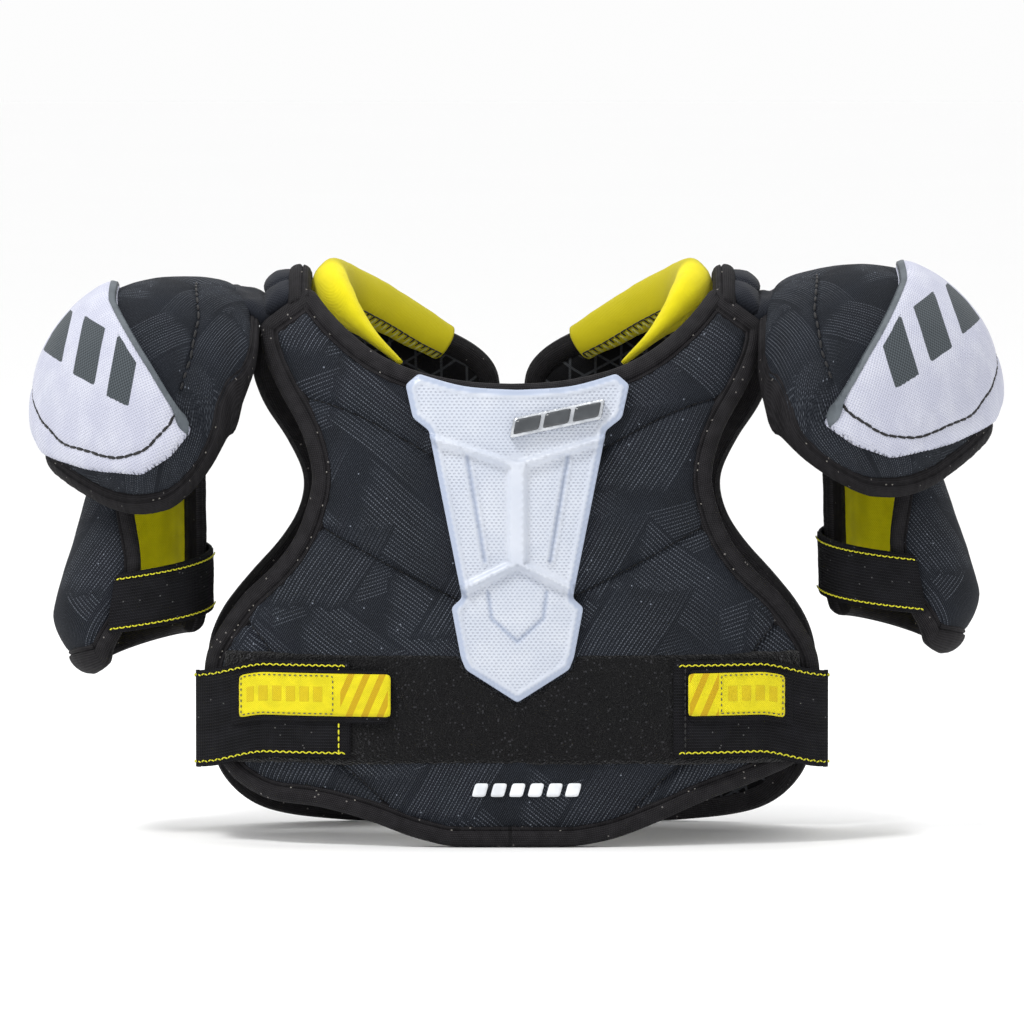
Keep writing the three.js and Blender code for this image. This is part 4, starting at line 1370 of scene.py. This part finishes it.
inside, edge = guard_outline(-0.8), guard_outline(5.5)
for side, m in SIDES:
    body = f"arm_guard_{side}"
    place = arm_place(side, 2)
    make = side_pads(side, place, body)
    plain = quilt(2.4, 0.5, 6.0 + m)

    def guard_bulge(u, v, de, ds, s):
        return plain(u, v, de, ds, s) - 2.6 * crown(de, 24) * clamp((150 - v) / 40) * clamp((v - 70) / 20)

    def guard_lining(u, v, de, ds, s):
        return 6.2 + 2.4 * crown(de, 9) + 0.3 * noise.noise((u / 11, v / 11, 2.0))

    def link_puff(u, v, de, ds, s):
        return -3.2 * crown(de, 5) - 1.3 * noise.noise((u / 5, v / 8, m)) * crown(de, 4)

    make("guard_pad", inside, on_guard, guard_bulge, 1.6, 2.2, NAVY, "panel_fabric", "guard_cover",
         padded=0.5)
    make("guard_inner_lining", inside, on_guard, 5.2, guard_lining, 2.4, OLIVE, "olive_lining",
         "guard_liner")
    bound_edge("guard", f"_{side}", edge, on_guard, body, (4.4, 5.0, 3.6, 4.6), 0.0, move=place, grow=roll)
    make("arm_web", box(74 * UNITS, 182 * UNITS, -12.5, 12.5, 1.0, 3), band,
         soft_edge(-3.5, 0.4, 1.0, 0.25, 9, m), -1.8, 1.6, ELASTIC, "elastic", "arm_elastic")
    zigzags(f"arm_zigzag_{side}", band, (-10.3, 10.3), -3.95, (76 * UNITS, 181 * UNITS), 1.2, 0.3, place,
            1.45, 1.3, body=body)
    pad(f"arm_hook_end_{side}_tape", box(184 * UNITS, 234 * UNITS, -11.5, 11.5, 1.0, 5), band,
        soft_edge(-3.3, 0.4, 1.0), -1.8, 1.8, move=place, mat=ELASTIC, body=f"arm_hook_end_{side}",
        slot="hook_fabric", replaces=(f"arm_hook_{side}",))
    make("hanger_web", box(-1, 15, 171.5, 206.5, 1.5, 3), hang, -0.8, 0.8, 2.5, ELASTIC, "hanger_fabric",
         "arm_hanger", on=f"hanger_{side}")
    make = side_pads(side, arm_place(side, 0), None)
    made = make("cap_link", rounded([(100, -27), (121, -24), (121, 24), (100, 27)], 1.2, 6), link, link_puff,
                gusset, 1.5, DARK_KNIT, "panel_fabric", "cap_tab", padded=0.5)
    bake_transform(made)

# the moulded inserts keep their solids' shapes
for node in ("cap_insert", "guard_insert"):
    for side, _ in SIDES:
        for slot in bpy.data.objects[f"{node}_{side}"].material_slots:
            slot.material = INSERT

# ---------- studio ----------
WHITE_LIGHT = 0.98
FLOOR_REACH, FLOOR_Z = 12, -0.0008
WIDTH_SEEN = 0.42667
SENSOR = 36
scene = bpy.context.scene
floor_mat = Mat("studio_floor", 0.6, spec=0.2)
x, y, _ = floor_mat.place()
floor_mat.colour(floor_mat.mix(floor_mat.noise(0.002, 2.0, (x, y)), (0.99, 0.99, 0.99), (1.0, 1.0, 1.0)))
mesh = bpy.data.meshes.new("studio_floor")
corners = [(x * FLOOR_REACH, y * FLOOR_REACH, 0) for x, y in ((-1, -1), (1, -1), (1, 1), (-1, 1))]
mesh.from_pydata(corners, [], [(0, 1, 2, 3)])
mesh.materials.append(floor_mat.mat)
floor = bpy.data.objects.new("studio_floor", mesh)
floor.location.z = FLOOR_Z
scene.collection.objects.link(floor)


def aim_at(obj, place, target):
    obj.location = place
    obj.rotation_euler = (Vector(target) - Vector(place)).to_track_quat("-Z", "Y").to_euler()
    scene.collection.objects.link(obj)


def lamp(name, place, target, size, power):
    data = bpy.data.lights.new(name, "AREA")
    data.shape = "DISK"
    data.size = size
    data.energy = power
    aim_at(bpy.data.objects.new(name, data), place, target)


lamp("key", (-0.9, -0.9, 1.9), (0, 0, 0.12), 0.5, 24)
lamp("top", (0.3, 0.3, 1.9), (0, 0, 0.1), 1.0, 8)
world = bpy.data.worlds.new("studio")
world.use_nodes = True
background = world.node_tree.nodes["Background"]
background.inputs[0].default_value = (1.0, 1.0, 1.0, 1)
background.inputs[1].default_value = WHITE_LIGHT
scene.world = world
scene.view_settings.view_transform = "Standard"

data = bpy.data.cameras.new("camera")
data.sensor_width = SENSOR
distance, tilt, aim = 4.8, 3.5 * DEG, 0.1335
data.lens = SENSOR * distance / WIDTH_SEEN
camera = bpy.data.objects.new("camera", data)
aim_at(camera, (0, -distance * math.cos(tilt), aim + distance * math.sin(tilt)), (0, 0, aim))
scene.camera = camera
